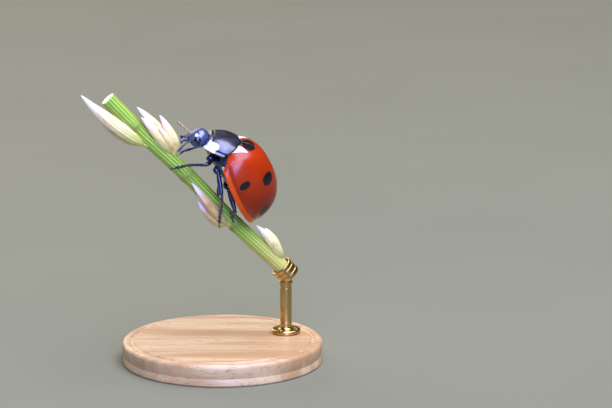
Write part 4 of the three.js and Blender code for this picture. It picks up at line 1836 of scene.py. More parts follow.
@dataclass(frozen=True)
class Scale:
    """A papery scale: a thin boat with a keel and fine nerves, part of the way round a path."""

    wrap: float
    turned: float = 0.0
    pointed: bool = False
    point_power: float = 2.6
    point_round: float = 0.8
    thickness: float = 0.03
    full_radius: float = 0.09
    thin_edge: float = 1.45
    flat: float = 0.86
    keel: Station = (0.05, 0.16)
    nerve: Station = (0.022, 0.07)
    nerves: tuple[float, ...] = (-0.76, -0.4, 0, 0.4, 0.76)
    columns: int = 40

    def add(self, shape: Shape, path: Array, radius: Array, back: Array, along: Array) -> None:
        """Adds the scale to a spikelet.

        Args:
            shape: shape to add to.
            path: points along the middle.
            radius: its radius at each point.
            back: direction that its keel is turned from.
            along: share of the floret's length at each point.
        """
        place = np.linspace(-1, 1, self.columns)
        angle = np.broadcast_to(self.wrap * place, (len(path), self.columns))
        if self.pointed:
            share = np.linspace(0, 1, len(path))[:, None]
            angle = angle * np.clip(1 - share**self.point_power, 0.02, 1) ** self.point_round
        forward = unit(np.gradient(path, axis=0))
        across = unit(np.cross(forward, np.broadcast_to(back, path.shape)))
        outwards = np.cross(across, forward)
        nerves = sum(bump(place - nerve, self.nerve[1]) for nerve in self.nerves)
        ridge = self.keel[0] * bump(place, self.keel[1] / self.wrap) + self.nerve[0] * nerves
        thick = self.thickness * np.clip(radius / self.full_radius, 0.05, 1)[:, None]
        faces = []
        for inset in (0.0, 1.0):
            reach = radius[:, None] * (1 + ridge) - thick * inset * np.cos(place * self.thin_edge)
            wide, deep = reach * np.cos(angle + self.turned), reach * self.flat * np.sin(angle + self.turned)
            face = path[:, None] + wide[..., None] * outwards[:, None]
            faces.append(face + deep[..., None] * across[:, None])
        marks = {"nerve": np.clip(nerves, 0, 1) + 0 * angle, "along": along[:, None] + 0 * angle}
        shape.plate(*faces, marks)


@dataclass
class Grass:
    """The cut stem with its joints and spikelets, which the insect holds on to."""

    green: Material
    husks: dict[str, Material]
    origin: Point = (0, 0, -1.739)
    along: Point = (0.976, 0, -0.219)
    radius: float = 0.58
    furrow: float = 0.022
    ribs: int = 14
    cut: float = -8.9
    top: float = 9.4
    bow: float = 0.06
    joints: float = 5.2
    swelling: float = 0.035
    joint_width: float = 0.3
    collar: Station = (0.16, 0.06)
    collar_depth: float = 0.02
    joint_furrow: float = 0.3
    joint_rib: float = 0.4
    waves: Waves = Waves(0.006, 0.9, 31)
    bore: float = 0.3
    bore_depth: float = 0.9
    pith_rim: float = 0.3
    rows: int = 260
    floret_rows: int = 56
    floret_crowding: float = 1.1
    floret_middle: float = 0.45
    stalk_length: float = 0.5
    stalk_inset: float = 0.6
    stalk_end: float = 0.12
    stalk_radii: tuple[float, ...] = (0.1, 0.12, 0.13, 0.08)
    core_width: float = 0.62
    core_flat: float = 0.8
    core_fade: Station = (0.5, 0.92)
    outer_wrap: float = 2.0
    inner_wrap: float = 1.4
    inner_length: float = 0.96
    inner_width: Station = (0.86, 0.6)
    inner_narrows: Station = (0.6, 1.0)
    bract_wrap: float = 0.95
    bracts: tuple[Point, ...] = ((0.9, 0.66, 1.05), (-0.9, 0.54, 1.08))
    bract_gap: float = 0.05
    bract_opens: Station = (0.5, 1.0)
    bract_hook: float = 0.15
    bract_narrows: Station = (0.9, 1.0)
    bract_tone: float = 0.7
    thinnest: tuple[float, ...] = (0.003, 0.006, 0.005, 0.008)

    def axes(self) -> Array:
        """Returns: unit vectors along the stem, above its middle and to its left."""
        along = unit(np.array(self.along, float))
        return np.array([along, np.cross(along, (0, 1, 0)), (0, 1, 0)])

    def point(self, along: Number, above: Number, left: Number) -> Array:
        """Returns: the place on the insect at these distances along, above and beside the stem."""
        return np.array(self.origin) + np.stack(np.broadcast_arrays(along, above, left), -1) @ self.axes()

    def to_stem(self, point: Array) -> Array:
        """Returns: how far a place on the insect lies along, above and beside the stem."""
        return self.axes() @ (point - np.array(self.origin))

    def sway(self, along: Number) -> Number:
        """Returns: how far the stem steps above or below its straight line."""
        return self.bow * np.cos(math.pi * (along - self.cut) / self.joints)

    def axis_at(self, point: Array) -> Array:
        """Returns: the middle of the stem nearest to a place."""
        along = self.to_stem(point)[0]
        return self.point(along, self.sway(along), 0)

    def at_joints(self, along: Array, beyond: float, width: float) -> Array:
        """Returns: a bump of that width at that distance beyond each joint of the stem."""
        return np.stack([bump(along - self.cut - self.joints * k - beyond, width) for k in (1, 2, 3)]).max(0)

    def build_stem(self) -> None:
        """Makes and dresses the ribbed stem, hollow at its cut top."""
        columns = self.ribs * 8
        rib = (1 + np.cos(self.ribs * circle(columns))) / 2
        along = np.linspace(self.cut, self.top, self.rows)
        near, ring = self.at_joints(along, 0, self.joint_width), self.at_joints(along, *self.collar)
        radius = self.radius - self.swelling * (1 - near) - self.collar_depth * ring
        path = self.point(along, self.sway(along), 0)
        depth = self.furrow * lerp(1, self.joint_furrow, near)
        body = tube(path, np.stack([radius, radius], -1), self.axes()[1], columns)
        height = self.waves.over(body) - depth[:, None] * (1 - rib)
        body = body + unit(body - path[:, None]) * height[..., None]
        bore = self.bore / self.radius
        steps = ((0.97, 0.015), (0.9, 0.02), (0.62, 0.0), (bore, -0.02), (0.48, -self.bore_depth))
        rim = [lerp(path[-1], body[-1], share) + self.axes()[0] * rise for share, rise in steps]
        last = np.ones(len(rim))
        lines = {
            "rib": np.append(lerp(1, self.joint_rib, near), last),
            "joint": np.append(np.maximum(near, ring), 0 * last),
            "pith": np.append(0 * near, [self.pith_rim, *last[1:]]),
        }
        marks = {name: np.repeat(line[:, None], columns, 1) for name, line in lines.items()}
        marks["rib"] *= rib
        stem = Shape().rings(np.concatenate([body, np.stack(rim)]), 0, marks)
        stem.piece("perch_stem_ribbed", [self.green], "grass_stem", "perch_stem")

    def floret(self, shape: Shape, husk: Husk) -> None:
        """Adds one floret: its stalk, a core, a keeled outer scale, a folded inner one and two bracts.

        Args:
            shape: shape of the spikelet.
            husk: where the floret stands and how wide it is.
        """
        base, tip, bow = (np.array(p, float) for p in (husk.base, husk.tip, husk.bow))
        middle = lerp(base, tip, self.floret_middle) + bow
        points = [self.point(*p) for p in (base, middle, tip)]
        back = unit(self.axes()[1] * middle[1] + self.axes()[2] * middle[2])
        foot = self.point(base[0] - self.stalk_length, *(base[1:] * self.stalk_inset))
        end = bezier(points, np.array([self.stalk_end]))[0]
        stalk = np.stack([foot, (foot + points[0]) / 2, points[0], end])
        shape.rings(tube(stalk, np.repeat(self.stalk_radii, 2).reshape(-1, 2), back, 14))
        share = np.linspace(0, 1, self.floret_rows) ** self.floret_crowding
        path, width = bezier(points, share), husk.width(share)
        core = width * self.core_width * (1 - smoothstep(share, *self.core_fade))
        core = np.maximum(core, self.thinnest[0])
        plain = np.ones((len(share), 20))
        marks = {"along": share[:, None] * plain, "nerve": 0 * plain}
        shape.rings(tube(path, np.stack([core, core * self.core_flat], -1), back), 0, marks)
        Scale(self.outer_wrap).add(shape, path, np.maximum(width, self.thinnest[1]), back, share)
        at = share * self.inner_length
        narrowing = lerp(*self.inner_width, smoothstep(share, *self.inner_narrows))
        radius = np.maximum(husk.width(at) * narrowing, self.thinnest[2])
        Scale(self.inner_wrap, math.pi, True).add(shape, bezier(points, at), radius, back, at)
        free = husk.half_width * self.bract_gap * smoothstep(share, *self.bract_opens)
        narrowing = 1 - self.bract_hook * smoothstep(share, *self.bract_narrows)
        for turned, length, size in self.bracts:
            at = share * length
            radius = np.maximum(husk.width(at) * size + free, self.thinnest[3]) * narrowing
            bract = Scale(self.bract_wrap, turned, True)
            bract.add(shape, bezier(points, at), radius, back, at * self.bract_tone)

    def build(self) -> None:
        """Makes and dresses the stem and its spikelets."""
        self.build_stem()
        for name, florets in SPIKELETS.items():
            shape = Shape()
            for husk in florets:
                self.floret(shape, husk)
            node = f"perch_spikelet_{name}"
            shape.piece(f"{node}_husks", [self.husks[name]], "grass_husk", node)


# ---------------- bristles


class Coat:
    """Plants bristles by Geometry Nodes on skins that aren't kept."""

    def __init__(self, finish: Material, radius: float = 0.003, lean: float = 1.3) -> None:
        """Builds the tree.

        Args:
            finish: finish of the bristles.
            radius: radius of a bristle at its root, in millimetres.
            lean: how far they lie down along the skin; 0 stands straight up.
        """
        self.tree = bristle_tree()
        self.finish = finish
        self.radius = radius
        self.lean = lean

    def plant(
        self, skin: Shape, name: str, density: float, length: float, seed: int, nodes: Sequence[str]
    ) -> None:
        """Plants bristles on a skin and dresses them.

        Args:
            skin: closed surfaces that carry the direction of the coat as "flow".
            name: name of the piece.
            density: bristles on a square millimetre.
            length: length of the longest one, in millimetres.
            seed: seed of where they stand.
            nodes: CAD nodes that they grow on.
        """
        base = skin.build(f"{name}_skin")
        base.data.uv_layers[0].name = "root"
        flow = base.data.attributes["flow"].data
        values = np.zeros(len(flow) * 3, np.float32)
        flow.foreach_get("vector", values)
        turned = values.reshape(-1, 3) @ (np.array(INSECT.to_3x3()) / MM).T
        flow.foreach_set("vector", turned.astype(np.float32).ravel())
        sizes = {"Density": density / MM**2, "Length": length * MM, "Radius": self.radius * MM}
        made = self.tree.run(name, base, **sizes, Lean=self.lean, Seed=seed, Finish=self.finish)
        for spare in ("flow", "tuft", "root"):
            if spare in made.data.attributes:
                made.data.attributes.remove(made.data.attributes[spare])
        dress(made, [self.finish], "black_chitin", *nodes)


# ---------------- legs


def segment(
    start: Array,
    end: Array,
    radii: Sequence[Station],
    side: Array | Point,
    flat: float = 1.0,
    bow: float = 0.0,
    rows: int = 22,
    columns: int = 18,
) -> Array:
    """Rings of one segment of a limb or feeler, rounded at both ends.

    Args:
        start: its near end.
        end: its far end.
        radii: pairs of share of the length and radius.
        side: rough direction of its broad side.
        flat: depth as a share of the width.
        bow: how far its middle stands out, across the broad side.
        rows: rings along it.
        columns: points on a ring.

    Returns:
        The grid of rings.
    """
    share = (1 - np.cos(np.linspace(0, math.pi, rows))) / 2
    across = unit(np.cross(end - start, side))
    path = lerp(start, end, share[:, None]) + across * (bow * np.sin(math.pi * share))[:, None]
    rounding = np.sqrt(np.clip(1 - np.abs(2 * share - 1) ** 8, 0, 1))
    radius = profile(radii, share) * rounding
    return tube(path, np.stack([radius, radius * flat], -1), side, columns)


@dataclass(frozen=True)
class Leg:
    """The joints of one leg, from hip to knee, ankle and toe; Y counts outwards from the middle.

    A leg that doesn't hold the stem stands on a husk.
    """

    hip: Point
    knee: Point
    ankle: Point
    toe: Point
    on_stem: bool = True


@dataclass(frozen=True)
class Stance:
    """How one leg stands: its joints, and the directions of its broad side and out of the body."""

    hip: Array
    knee: Array
    ankle: Array
    toe: Array
    broad: Array
    outer: Array


LEGS = {
    "front_left": Leg((1.78, 0.7, 0.33), (2.01, 1.7, -0.04), (2.4, 0.95, -1.44), (2.55, 0.66, -2.72)),
    "front_right": Leg((1.78, 0.7, 0.33), (2.15, 1.7, -0.1), (2.75, 0.98, -1.5), (3.0, 0.62, -2.8)),
    "middle_left": Leg((1, 1, 0.3), (-0.58, 1.9, -0.25), (-1.99, 1.2, -1.27), (-2.98, 0.64, -1.97), False),
    "middle_right": Leg((1, 1, 0.3), (-0.4, 1.9, -0.3), (-1.6, 1.1, -1.25), (-2.3, 0.66, -1.75)),
    "hind_left": Leg((-0.6, 0.9, 0.2), (-2.07, 1.9, -0.02), (-2.26, 1, -0.5), (-3.18, 0.75, -0.84)),
    "hind_right": Leg((-0.6, 0.9, 0.2), (-2.2, 1.85, -0.02), (-2.5, 1, -0.5), (-3.4, 0.75, -0.82)),
}


@dataclass
class Limbs:
    """The six legs at their true thickness, with jointed feet, paired claws and bristles."""

    grass: Grass
    hard: Material
    soft: Material
    coat: Coat
    socket: Outline = ((0, 0.13), (0.5, 0.165), (1, 0.12))
    thigh: Outline = ((0, 0.14), (0.2, 0.19), (0.5, 0.215), (0.85, 0.175), (1, 0.13))
    shin: Outline = ((0, 0.09), (0.12, 0.105), (0.5, 0.115), (0.88, 0.14), (1, 0.11))
    spur: Outline = ((0, 0.02), (1, 0.004))
    foot: tuple[tuple[float, float, Outline], ...] = (
        (-0.03, 0.36, ((0, 0.06), (0.75, 0.125), (1, 0.1))),
        (0.3, 0.64, ((0, 0.06), (0.7, 0.14), (1, 0.1))),
        (0.54, 0.72, ((0, 0.04), (0.7, 0.065), (1, 0.05))),
        (0.62, 0.97, ((0, 0.035), (0.6, 0.055), (1, 0.06))),
    )
    thigh_from: float = 0.08
    thigh_flat: float = 0.8
    shin_flat: float = 0.85
    shin_bow: float = 0.05
    spur_length: float = 0.16
    foot_flat: float = 0.6
    knee_skin: Point = (0.105, 0.105, 0.105)
    ankle_skin: Point = (0.08, 0.08, 0.08)
    claw_length: float = 0.2
    claw_spread: float = 0.55
    claw_hook: float = 1.9
    claw_radius: float = 0.034
    tooth_length: float = 0.07
    tooth_radius: float = 0.026
    sole: float = 0.09
    hairs: float = 240
    hair_length: float = 0.085
    first_seed: int = 11

    def toe_on_stem(self, toe: Array) -> Array:
        """Moves a toe straight in towards the stem until its sole lies on it.

        Args:
            toe: where the toe would be.

        Returns:
            Where it is.
        """
        along, above, left = self.grass.to_stem(toe)
        centre = self.grass.sway(along)
        share = (self.grass.radius + self.sole) / math.hypot(above - centre, left)
        return self.grass.point(along, centre + (above - centre) * share, left * share)

    def thigh_shape(self, leg: Stance) -> Shape:
        """Builds a thigh with its hip socket and the soft skin of the knee.

        Args:
            leg: how the leg stands.

        Returns:
            The shape.
        """
        within = leg.hip + (0, -0.1 * leg.outer[1], 0.04)
        shape = Shape().rings(segment(within, lerp(leg.hip, leg.knee, 0.2), self.socket, leg.outer))
        start = lerp(leg.hip, leg.knee, self.thigh_from)
        shape.rings(segment(start, leg.knee, self.thigh, leg.broad, self.thigh_flat, 0.0, 30, 24))
        return shape.rings(ball(leg.knee, self.knee_skin, None, 12, 14), 1)

    def shin_shape(self, leg: Stance) -> Shape:
        """Builds a shin with its pair of end spurs.

        Args:
            leg: how the leg stands.

        Returns:
            The shape.
        """
        grid = segment(leg.knee, leg.ankle, self.shin, leg.broad, self.shin_flat, self.shin_bow, 30, 20)
        shape = Shape().rings(grid)
        forward = unit(leg.ankle - leg.knee)
        for way in (1, -1):
            root = leg.ankle - forward * 0.06 + leg.broad * (0.07 * way)
            tip = root + forward * self.spur_length + leg.broad * 0.03 * way
            shape.rings(segment(root, tip, self.spur, leg.outer, 1, 0, 6, 8))
        return shape

    def add_claws(self, shape: Shape, leg: Stance, forward: Array, across: Array) -> None:
        """Adds the pair of hooked claws and their basal teeth.

        Args:
            shape: shape of the foot.
            leg: how the leg stands.
            forward: direction of the foot.
            across: direction of its broad side.
        """
        down = np.cross(across, forward)
        share = np.linspace(0, 1, 12)[:, None]
        bend, size = share * self.claw_hook, self.claw_length
        for side in (1, -1):
            out = unit(forward + side * self.claw_spread * across)
            claw = leg.toe - forward * 0.06 + out * size * np.sin(bend) + down * size * (1 - np.cos(bend))
            radii = np.repeat(self.claw_radius * (1 - share) ** 0.7 + 0.001, 2, 1)
            shape.rings(tube(claw, radii, across, 10))
            tooth = claw[4] + (down * self.tooth_length - out * 0.01) * share
            shape.rings(tube(tooth, np.repeat(self.tooth_radius * (1 - share) + 0.001, 2, 1), across, 8))

    def foot_shape(self, leg: Stance) -> Shape:
        """Builds a foot with its joints, the soft skin of the ankle and the claws.

        Args:
            leg: how the leg stands.

        Returns:
            The shape.
        """
        forward = unit(leg.toe - leg.ankle)
        across = unit(np.cross(forward, unit(self.grass.axis_at(leg.toe) - leg.toe)))
        shape = Shape()
        for start, end, radii in self.foot:
            near, far = lerp(leg.ankle, leg.toe, start), lerp(leg.ankle, leg.toe, end)
            shape.rings(segment(near, far, radii, across, self.foot_flat, 0.0, 18, 16))
        shape.rings(ball(leg.ankle, self.ankle_skin, None, 10, 12), 1)
        self.add_claws(shape, leg, forward, across)
        return shape

    def skin(self, leg: Stance) -> Shape:
        """Builds the skin that the bristles of a shin and a foot grow on.

        Args:
            leg: how the leg stands.

        Returns:
            The shape, with the direction of its coat marked.
        """
        shape = Shape()
        shin = (leg.knee, leg.ankle, self.shin, self.shin_flat)
        for near, far, radii, flat in (shin, (leg.ankle, leg.toe, self.foot[1][2], self.foot_flat)):
            grid = segment(near, far, radii, leg.broad, flat, 0.0, 24, 16)
            shape.rings(grid, marks={"flow": np.broadcast_to(unit(far - near), grid.shape)})
        return shape

    def build(self) -> None:
        """Makes and dresses every leg."""
        for number, (name, given) in enumerate(LEGS.items()):
            side = SIDES[name.split("_")[1]]
            joints = (given.hip, given.knee, given.ankle, given.toe)
            hip, knee, ankle, toe = (on_side(joint, side) for joint in joints)
            toe = self.toe_on_stem(toe) if given.on_stem else toe
            broad = unit(np.cross(np.cross(knee - hip, ankle - knee), knee - hip))
            leg = Stance(hip, knee, ankle, toe, broad, np.array((0.0, side, 0.35)))
            parts = (
                ("thigh", "femur", self.thigh_shape(leg), [self.hard, self.soft]),
                ("shin", "tibia", self.shin_shape(leg), [self.hard]),
                ("foot", "tarsus", self.foot_shape(leg), [self.hard, self.soft]),
            )
            for part, node, shape, finishes in parts:
                shape.piece(f"leg_{name}_{part}", finishes, "black_chitin", f"leg_{name}_{node}")
            nodes, seed = (f"leg_{name}_tibia", f"leg_{name}_tarsus"), self.first_seed + number
            self.coat.plant(self.skin(leg), f"leg_{name}_bristles", self.hairs, self.hair_length, seed, nodes)


# ---------------- head


FEELERS = {
    "left": ((3.72, 0.5, -0.3), (3.8, 0.62, -0.8), (3.56, 0.78, -1.42)),
    "right": ((3.85, -0.5, -0.2), (4.25, -0.75, -0.45), (4.87, -1.1, -0.75)),
}


@dataclass
class Head:
    """The head, tipped well down: skull, eyes, mouth parts and feelers."""

    black: Material
    face: Material
    horn: Material
    lens: Material
    coat: Coat
    centre: Point = (3.44, 0, 0.22)
    tip: float = math.radians(64)
    semi_axes: Point = (0.74, 0.8, 0.68)
    eye_centre: Point = (3.5, 0.68, 0.13)
    eye_semi_axes: Point = (0.34, 0.24, 0.36)
    eye_rim: Ridge = Ridge(0.035, 1.12, 0.12)
    face_depth: float = 0.05
    mouth_shield: float = 0.06
    mouth_groove: Ridge = Ridge(-0.02, 0.6, 0.05)
    mouth_bow: float = 0.12
    waves: Waves = Waves(0.003, 0.3, 21)
    lens_rows: int = 5
    lens_height: float = 0.022
    lens_share: float = 0.74
    labrum: tuple[Point, Point] = ((3.86, 0, -0.52), (0.15, 0.36, 0.24))
    lip_edge: tuple[Point, Point] = ((0.71, 0, 0.27), (0.07, 0.38, 0.11))
    jaw_ends: tuple[Point, Point] = ((0.66, 0.3, -0.08), (1.0, 0.06, 0.02))
    lip_palp_ends: tuple[Point, Point] = ((0.8, 0.12, -0.04), (1.02, 0.16, 0.06))
    jaw: Outline = ((0, 0.11), (0.6, 0.09), (1, 0.02))
    jaw_flat: float = 0.6
    jaw_bow: float = 0.06
    lip_palp: Outline = ((0, 0.035), (0.7, 0.045), (1, 0.03))
    palp_base: Point = (3.84, 0.34, -0.42)
    palp_tip: Point = (4.02, 0.36, -1.0)
    palp_joints: tuple[Point, ...] = ((-0.05, 0.2, 0.08), (0.16, 0.5, 0.1), (0.46, 0.66, 0.085))
    hatchet_from: float = 0.6
    hatchet_flat: float = 0.42
    hatchet: Outline = ((0, 0.06), (0.4, 0.13), (0.74, 0.2), (0.9, 0.18), (1, 0.11))
    feeler_joints: tuple[float, ...] = (0, 0.15, 0.24, 0.32, 0.39, 0.455, 0.52, 0.585, 0.65, 0.77, 0.89, 1.0)
    feeler_radii: tuple[float, ...] = (
        0.09, 0.078, 0.066, 0.062, 0.062, 0.064, 0.068, 0.074, 0.1, 0.115, 0.098
    )
    feeler_overlap: float = 0.12
    hairs: float = 420
    hair_length: float = 0.06
    first_seed: int = 41

    def turn(self) -> Matrix:
        """Returns: the turn of the head's own axes, X to the mouth and Z out of the face."""
        return Matrix.Rotation(self.tip, 4, "Y")

    def axes(self) -> Array:
        """Returns: the same turn, as numbers."""
        return np.array(self.turn().to_3x3())

    def local(self, point: Point, side: int = 1) -> Array:
        """Returns: a place in the head's own axes, on one side, as a place on the insect."""
        return np.array(self.centre) + self.axes() @ on_side(point, side)

    def skull(self) -> Array:
        """Rings of the skull, with its flat face, the mouth shield and the rims round the eyes.

        Returns:
            The rings.
        """
        flat = ball((0, 0, 0), (1, 1, 1), None, 84, 128)
        x, y, z = np.moveaxis(flat, -1, 0)
        front = smoothstep(z, 0.1, 0.9)
        height = -self.face_depth * front * smoothstep(x, -0.4, 0.6)
        height += self.mouth_shield * smoothstep(x, 0.62, 0.9) * smoothstep(z, -0.3, 0.4)
        height += self.mouth_groove.over(x + self.mouth_bow * y**2) * front
        eye = self.axes().T @ (np.array(self.eye_centre) - np.array(self.centre))
        place = flat * np.array(self.semi_axes)
        for side in SIDES.values():
            reach = np.linalg.norm((place - eye * (1, side, 1)) / np.array(self.eye_semi_axes), axis=-1)
            height += self.eye_rim.over(reach)
        height += self.waves.over(flat)
        grid = place + unit(flat / np.array(self.semi_axes)) * height[..., None]
        return grid @ self.axes().T + np.array(self.centre)

    def build_mouth(self) -> None:
        """Makes the upper lip with its pale edge, the jaws and the small pale palps beside them."""
        mouth = Shape().rings(ball(*self.labrum, self.turn(), 28, 40))
        mouth.rings(ball(self.local(self.lip_edge[0]), self.lip_edge[1], self.turn(), 20, 32), 1)
        for side in SIDES.values():
            near, far = (self.local(end, side) for end in self.jaw_ends)
            mouth.rings(segment(near, far, self.jaw, (1, 0, 0.4), self.jaw_flat, self.jaw_bow * side))
            near, far = (self.local(end, side) for end in self.lip_palp_ends)
            mouth.rings(segment(near, far, self.lip_palp, (0, 1, 0), 1, 0, 12, 12), 1)
        mouth.piece("mouth_parts", [self.black, self.horn], "black_chitin", "labrum")

    def build_palps(self) -> None:
        """Makes the two large palps, each with a hatchet-shaped tip."""
        for word, side in SIDES.items():
            base, tip = on_side(self.palp_base, side), on_side(self.palp_tip, side)
            palp = Shape()
            for start, end, radius in self.palp_joints:
                outline = ((0, radius * 0.7), (0.7, radius), (1, radius * 0.8))
                palp.rings(segment(lerp(base, tip, start), lerp(base, tip, end), outline, (0, 1, 0)))
            near, broad = lerp(base, tip, self.hatchet_from), (1, -0.6 * side, 0.2)
            palp.rings(segment(near, tip, self.hatchet, broad, self.hatchet_flat, 0, 20, 24))
            palp.piece(f"palp_{word}_joints", [self.black], "black_chitin", f"palp_{word}")

    def build_eyes(self) -> None:
        """Makes the eyes, each a ball of six-sided lenses set into its socket."""
        tree = lens_tree()
        shape = {"Rows": self.lens_rows, "Lens_height": self.lens_height, "Lens_share": self.lens_share}
        for word, side in SIDES.items():
            eye = tree.run(f"eye_{word}_lenses", **shape, Semi_axes=self.eye_semi_axes, Finish=self.lens)
            eye.data.transform(INSECT @ Matrix.Translation(on_side(self.eye_centre, side)) @ self.turn())
            dress(eye, [self.lens], "eye_lens", f"eye_{word}")

    def build_feelers(self) -> None:
        """Makes the feelers, eleven joints each with a club of three; the far one is painted paler, as if lit
        through from behind.
        """
        # Painted light: the far feeler takes the pale horn finish as though lit through from behind.
        finishes = {"left": self.black, "right": self.horn}
        for number, (word, points) in enumerate(FEELERS.items()):
            places = bezier(points, np.array(self.feeler_joints))
            feeler, skin = Shape(), Shape()
            for near, far, radius in zip(places, places[1:], self.feeler_radii):
                overlap = (far - near) * self.feeler_overlap
                outline = ((0, radius * 0.74), (0.65, radius), (1, radius * 0.9))
                grid = segment(near - overlap, far + overlap, outline, (0, 1, 0.3), 0.9, 0, 18, 16)
                feeler.rings(grid)
                skin.rings(grid, marks={"flow": np.broadcast_to(unit(far - near), grid.shape)})
            name = f"antenna_{word}"
            feeler.piece(f"{name}_joints", [finishes[word]], "black_chitin", name)
            seed = self.first_seed + number
            self.coat.plant(skin, f"{name}_bristles", self.hairs, self.hair_length, seed, [name])

    def build(self) -> None:
        """Makes and dresses the skull and all that it carries."""
        Shape().rings(self.skull()).piece("head_skull", [self.face], "black_chitin", "head")
        self.build_mouth()
        self.build_palps()
        self.build_eyes()
        self.build_feelers()


# ---------------- stand


def arc(centre: Station, radius: float, start: float, end: float, steps: int = 7) -> list[Station]:
    """Returns: that many points of an arc in an outline, from one angle to another in degrees."""
    angles = np.radians(np.linspace(start, end, steps))
    return [(centre[0] + radius * math.cos(a), centre[1] + radius * math.sin(a)) for a in angles]


@dataclass
class Stand:
    """The display stand: a turned beech base, a brass rod on a screwed flange and a ferrule."""

    grass: Grass
    wood: Material
    brass: Material
    axis: float = 0.01
    crease: float = math.radians(34)
    edge: float = 0.3
    groove_at: float = 6.35
    groove: float = 0.16
    waist: float = 0.14
    waist_out: float = 0.06
    waist_share: float = 0.36
    rod_radius: float = 0.42
    rod_clearance: float = 0.3
    flange_height: float = 0.3
    flange_easing: float = 0.1
    fillet: float = 0.16
    ring: float = 0.03
    collar: float = 0.07
    collar_drop: float = 0.62
    ferrule_from: float = -9.45
    ferrule_to: float = -8.35
    ferrule_radius: float = 0.84
    ferrule_wall: float = 0.78
    ferrule_easing: float = 0.15
    ferrule_ring: float = 0.05
    lip: float = 0.07
    bore: float = 0.62
    bore_floor: float = 0.5
    screws: int = 3
    screw_circle: float = 0.74
    screw_radius: float = 0.16
    screw_height: float = 0.07
    screw_crease: float = math.radians(30)
    slot_width: float = 0.045

    def build_base(self) -> None:
        """Makes the turned base, with a rounded top edge, a waist groove and a ring cut in its top."""
        low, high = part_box("stand_base")
        radius, top = (high[0] - low[0]) / 2 / MM, high[2] / MM
        edge, ring, cut = self.edge, self.groove_at, self.groove
        outline = [(self.axis, 0.0), (radius - edge, 0.0)]
        outline += arc((radius - edge / 2, edge / 2), edge / 2, -90, 0)
        outline += arc((radius + self.waist_out, top * self.waist_share), self.waist, 205, 155)
        outline += [(radius, top - edge - 0.18)]
        outline += arc((radius - edge, top - edge), edge, 0, 90, 12)
        outline += arc((ring + cut, top), cut, 0, -180, 12)[1:-1]
        outline += [(ring - 0.05, top), (self.axis, top)]
        middle = ((high[0] + low[0]) / 2 / MM, (high[1] + low[1]) / 2 / MM, 0)
        base = Shape().rings(lathe(outline, 192) + np.array(middle))
        dress(base.build("stand_base_turned", ROW, self.crease), [self.wood], "beech_wood", "stand_base")

    def build_rod(self) -> None:
        """Makes the rod with its flange, its collar under the ferrule and the flange's screws."""
        low, high = (np.array(c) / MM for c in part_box("stand_rod"))
        radius = (high[0] - low[0]) / 2
        x, y, foot = (low[0] + high[0]) / 2, (low[1] + high[1]) / 2, low[2]
        middle = self.grass.point((self.ferrule_from + self.ferrule_to) / 2, self.grass.bow, 0)
        end = (INSECT @ Vector(middle)).z / MM - self.rod_clearance
        level, ease, ring, rod = foot + self.flange_height, self.flange_easing, self.ring, self.rod_radius
        turned, collar, rise = rod + self.fillet, rod + self.collar, end - self.collar_drop
        outline = [(self.axis, foot), (radius - ring, foot), (radius, foot + ring)]
        outline += arc((radius - ease, level - ease), ease, 0, 90)
        outline += [(turned + 0.06, level)]
        outline += arc((turned, level + self.fillet), self.fillet, -90, -180)
        for height in (level + 0.5, rise - 0.3):
            outline += arc((rod + 0.01, height), ring, 250, 110, 5)
        outline += [(rod, rise), (collar, rise + 0.04), (collar, rise + 0.16), (rod, rise + 0.2)]
        outline += [(rod, end - 0.2), (rod - 0.08, end)]
        shape = Shape().rings(lathe(outline, 72) + (x, y, 0))
        dress(shape.build("stand_rod_turned", ROW, self.crease), [self.brass], "brass", "stand_rod")
        self.build_screws(Matrix.Translation((x * MM, y * MM, level * MM)))

    def build_screws(self, place: Matrix) -> None:
        """Makes the slotted screws of the flange.

        Args:
            place: matrix that moves the circle of screws from the origin to the flange.
        """
        size, height, gap = self.screw_radius, self.screw_height, self.slot_width / 2
        floor, start, sunk = height * 0.4, 0.004, -0.02
        head = Shape().rings(lathe([(start, sunk), (size, sunk), (size, floor), (start, floor)], 24))
        turn = np.linspace(-math.pi / 2, math.pi / 2, 13)
        share, rise = np.array([(1.0, 0.0), (1.0, 0.55), (0.93, 0.85), (0.7, 1.0)]).T
        reach = size * share[:, None]
        for side in (1, -1):
            half = np.stack([gap + (reach - gap) * np.cos(turn), reach * np.sin(turn)], -1)
            head.rings(levels(half * side, height * rise))
        part = head.build("screw_head", ROW, self.screw_crease)
        sizes = {"Count": self.screws, "Radius": self.screw_circle * MM}
        made = circle_tree().run("stand_flange_screws", **sizes, Part=part, Finish=self.brass)
        made.data.transform(place)
        bpy.data.objects.remove(part)
        dress(made, [self.brass], "brass", "stand_rod")

    def build_ferrule(self) -> None:
        """Makes the cup that the stem stands in, with a rolled lip and two turned rings."""
        length, lip = self.ferrule_to - self.ferrule_from, self.lip
        wall, ease = self.ferrule_wall, self.ferrule_easing
        outline = [(self.axis, 0.0), (wall - ease, 0.0)]
        outline += arc((wall - ease, ease), ease, -90, 0)
        for height in (0.34, 0.72):
            outline += arc((wall, height), self.ferrule_ring, -90, 90, 9)
        outline += arc((self.ferrule_radius - lip, length - lip), lip, -60, 180, 15)
        outline += [(self.bore, length - lip - 0.06), (self.bore, self.bore_floor)]
        outline += [(self.axis, self.bore_floor)]
        along, _, left = self.grass.axes()
        turn = np.stack([left, np.cross(along, left), along])
        foot = self.grass.point(self.ferrule_from, self.grass.bow, 0)
        cup = Shape().rings(lathe(outline) @ turn + foot)
        dress(cup.build("stand_ferrule_cup", INSECT, self.crease), [self.brass], "brass", "stand_ferrule")

    def build(self) -> None:
        """Makes and dresses the whole stand."""
        self.build_base()
        self.build_rod()
        self.build_ferrule()


# ---------------- studio


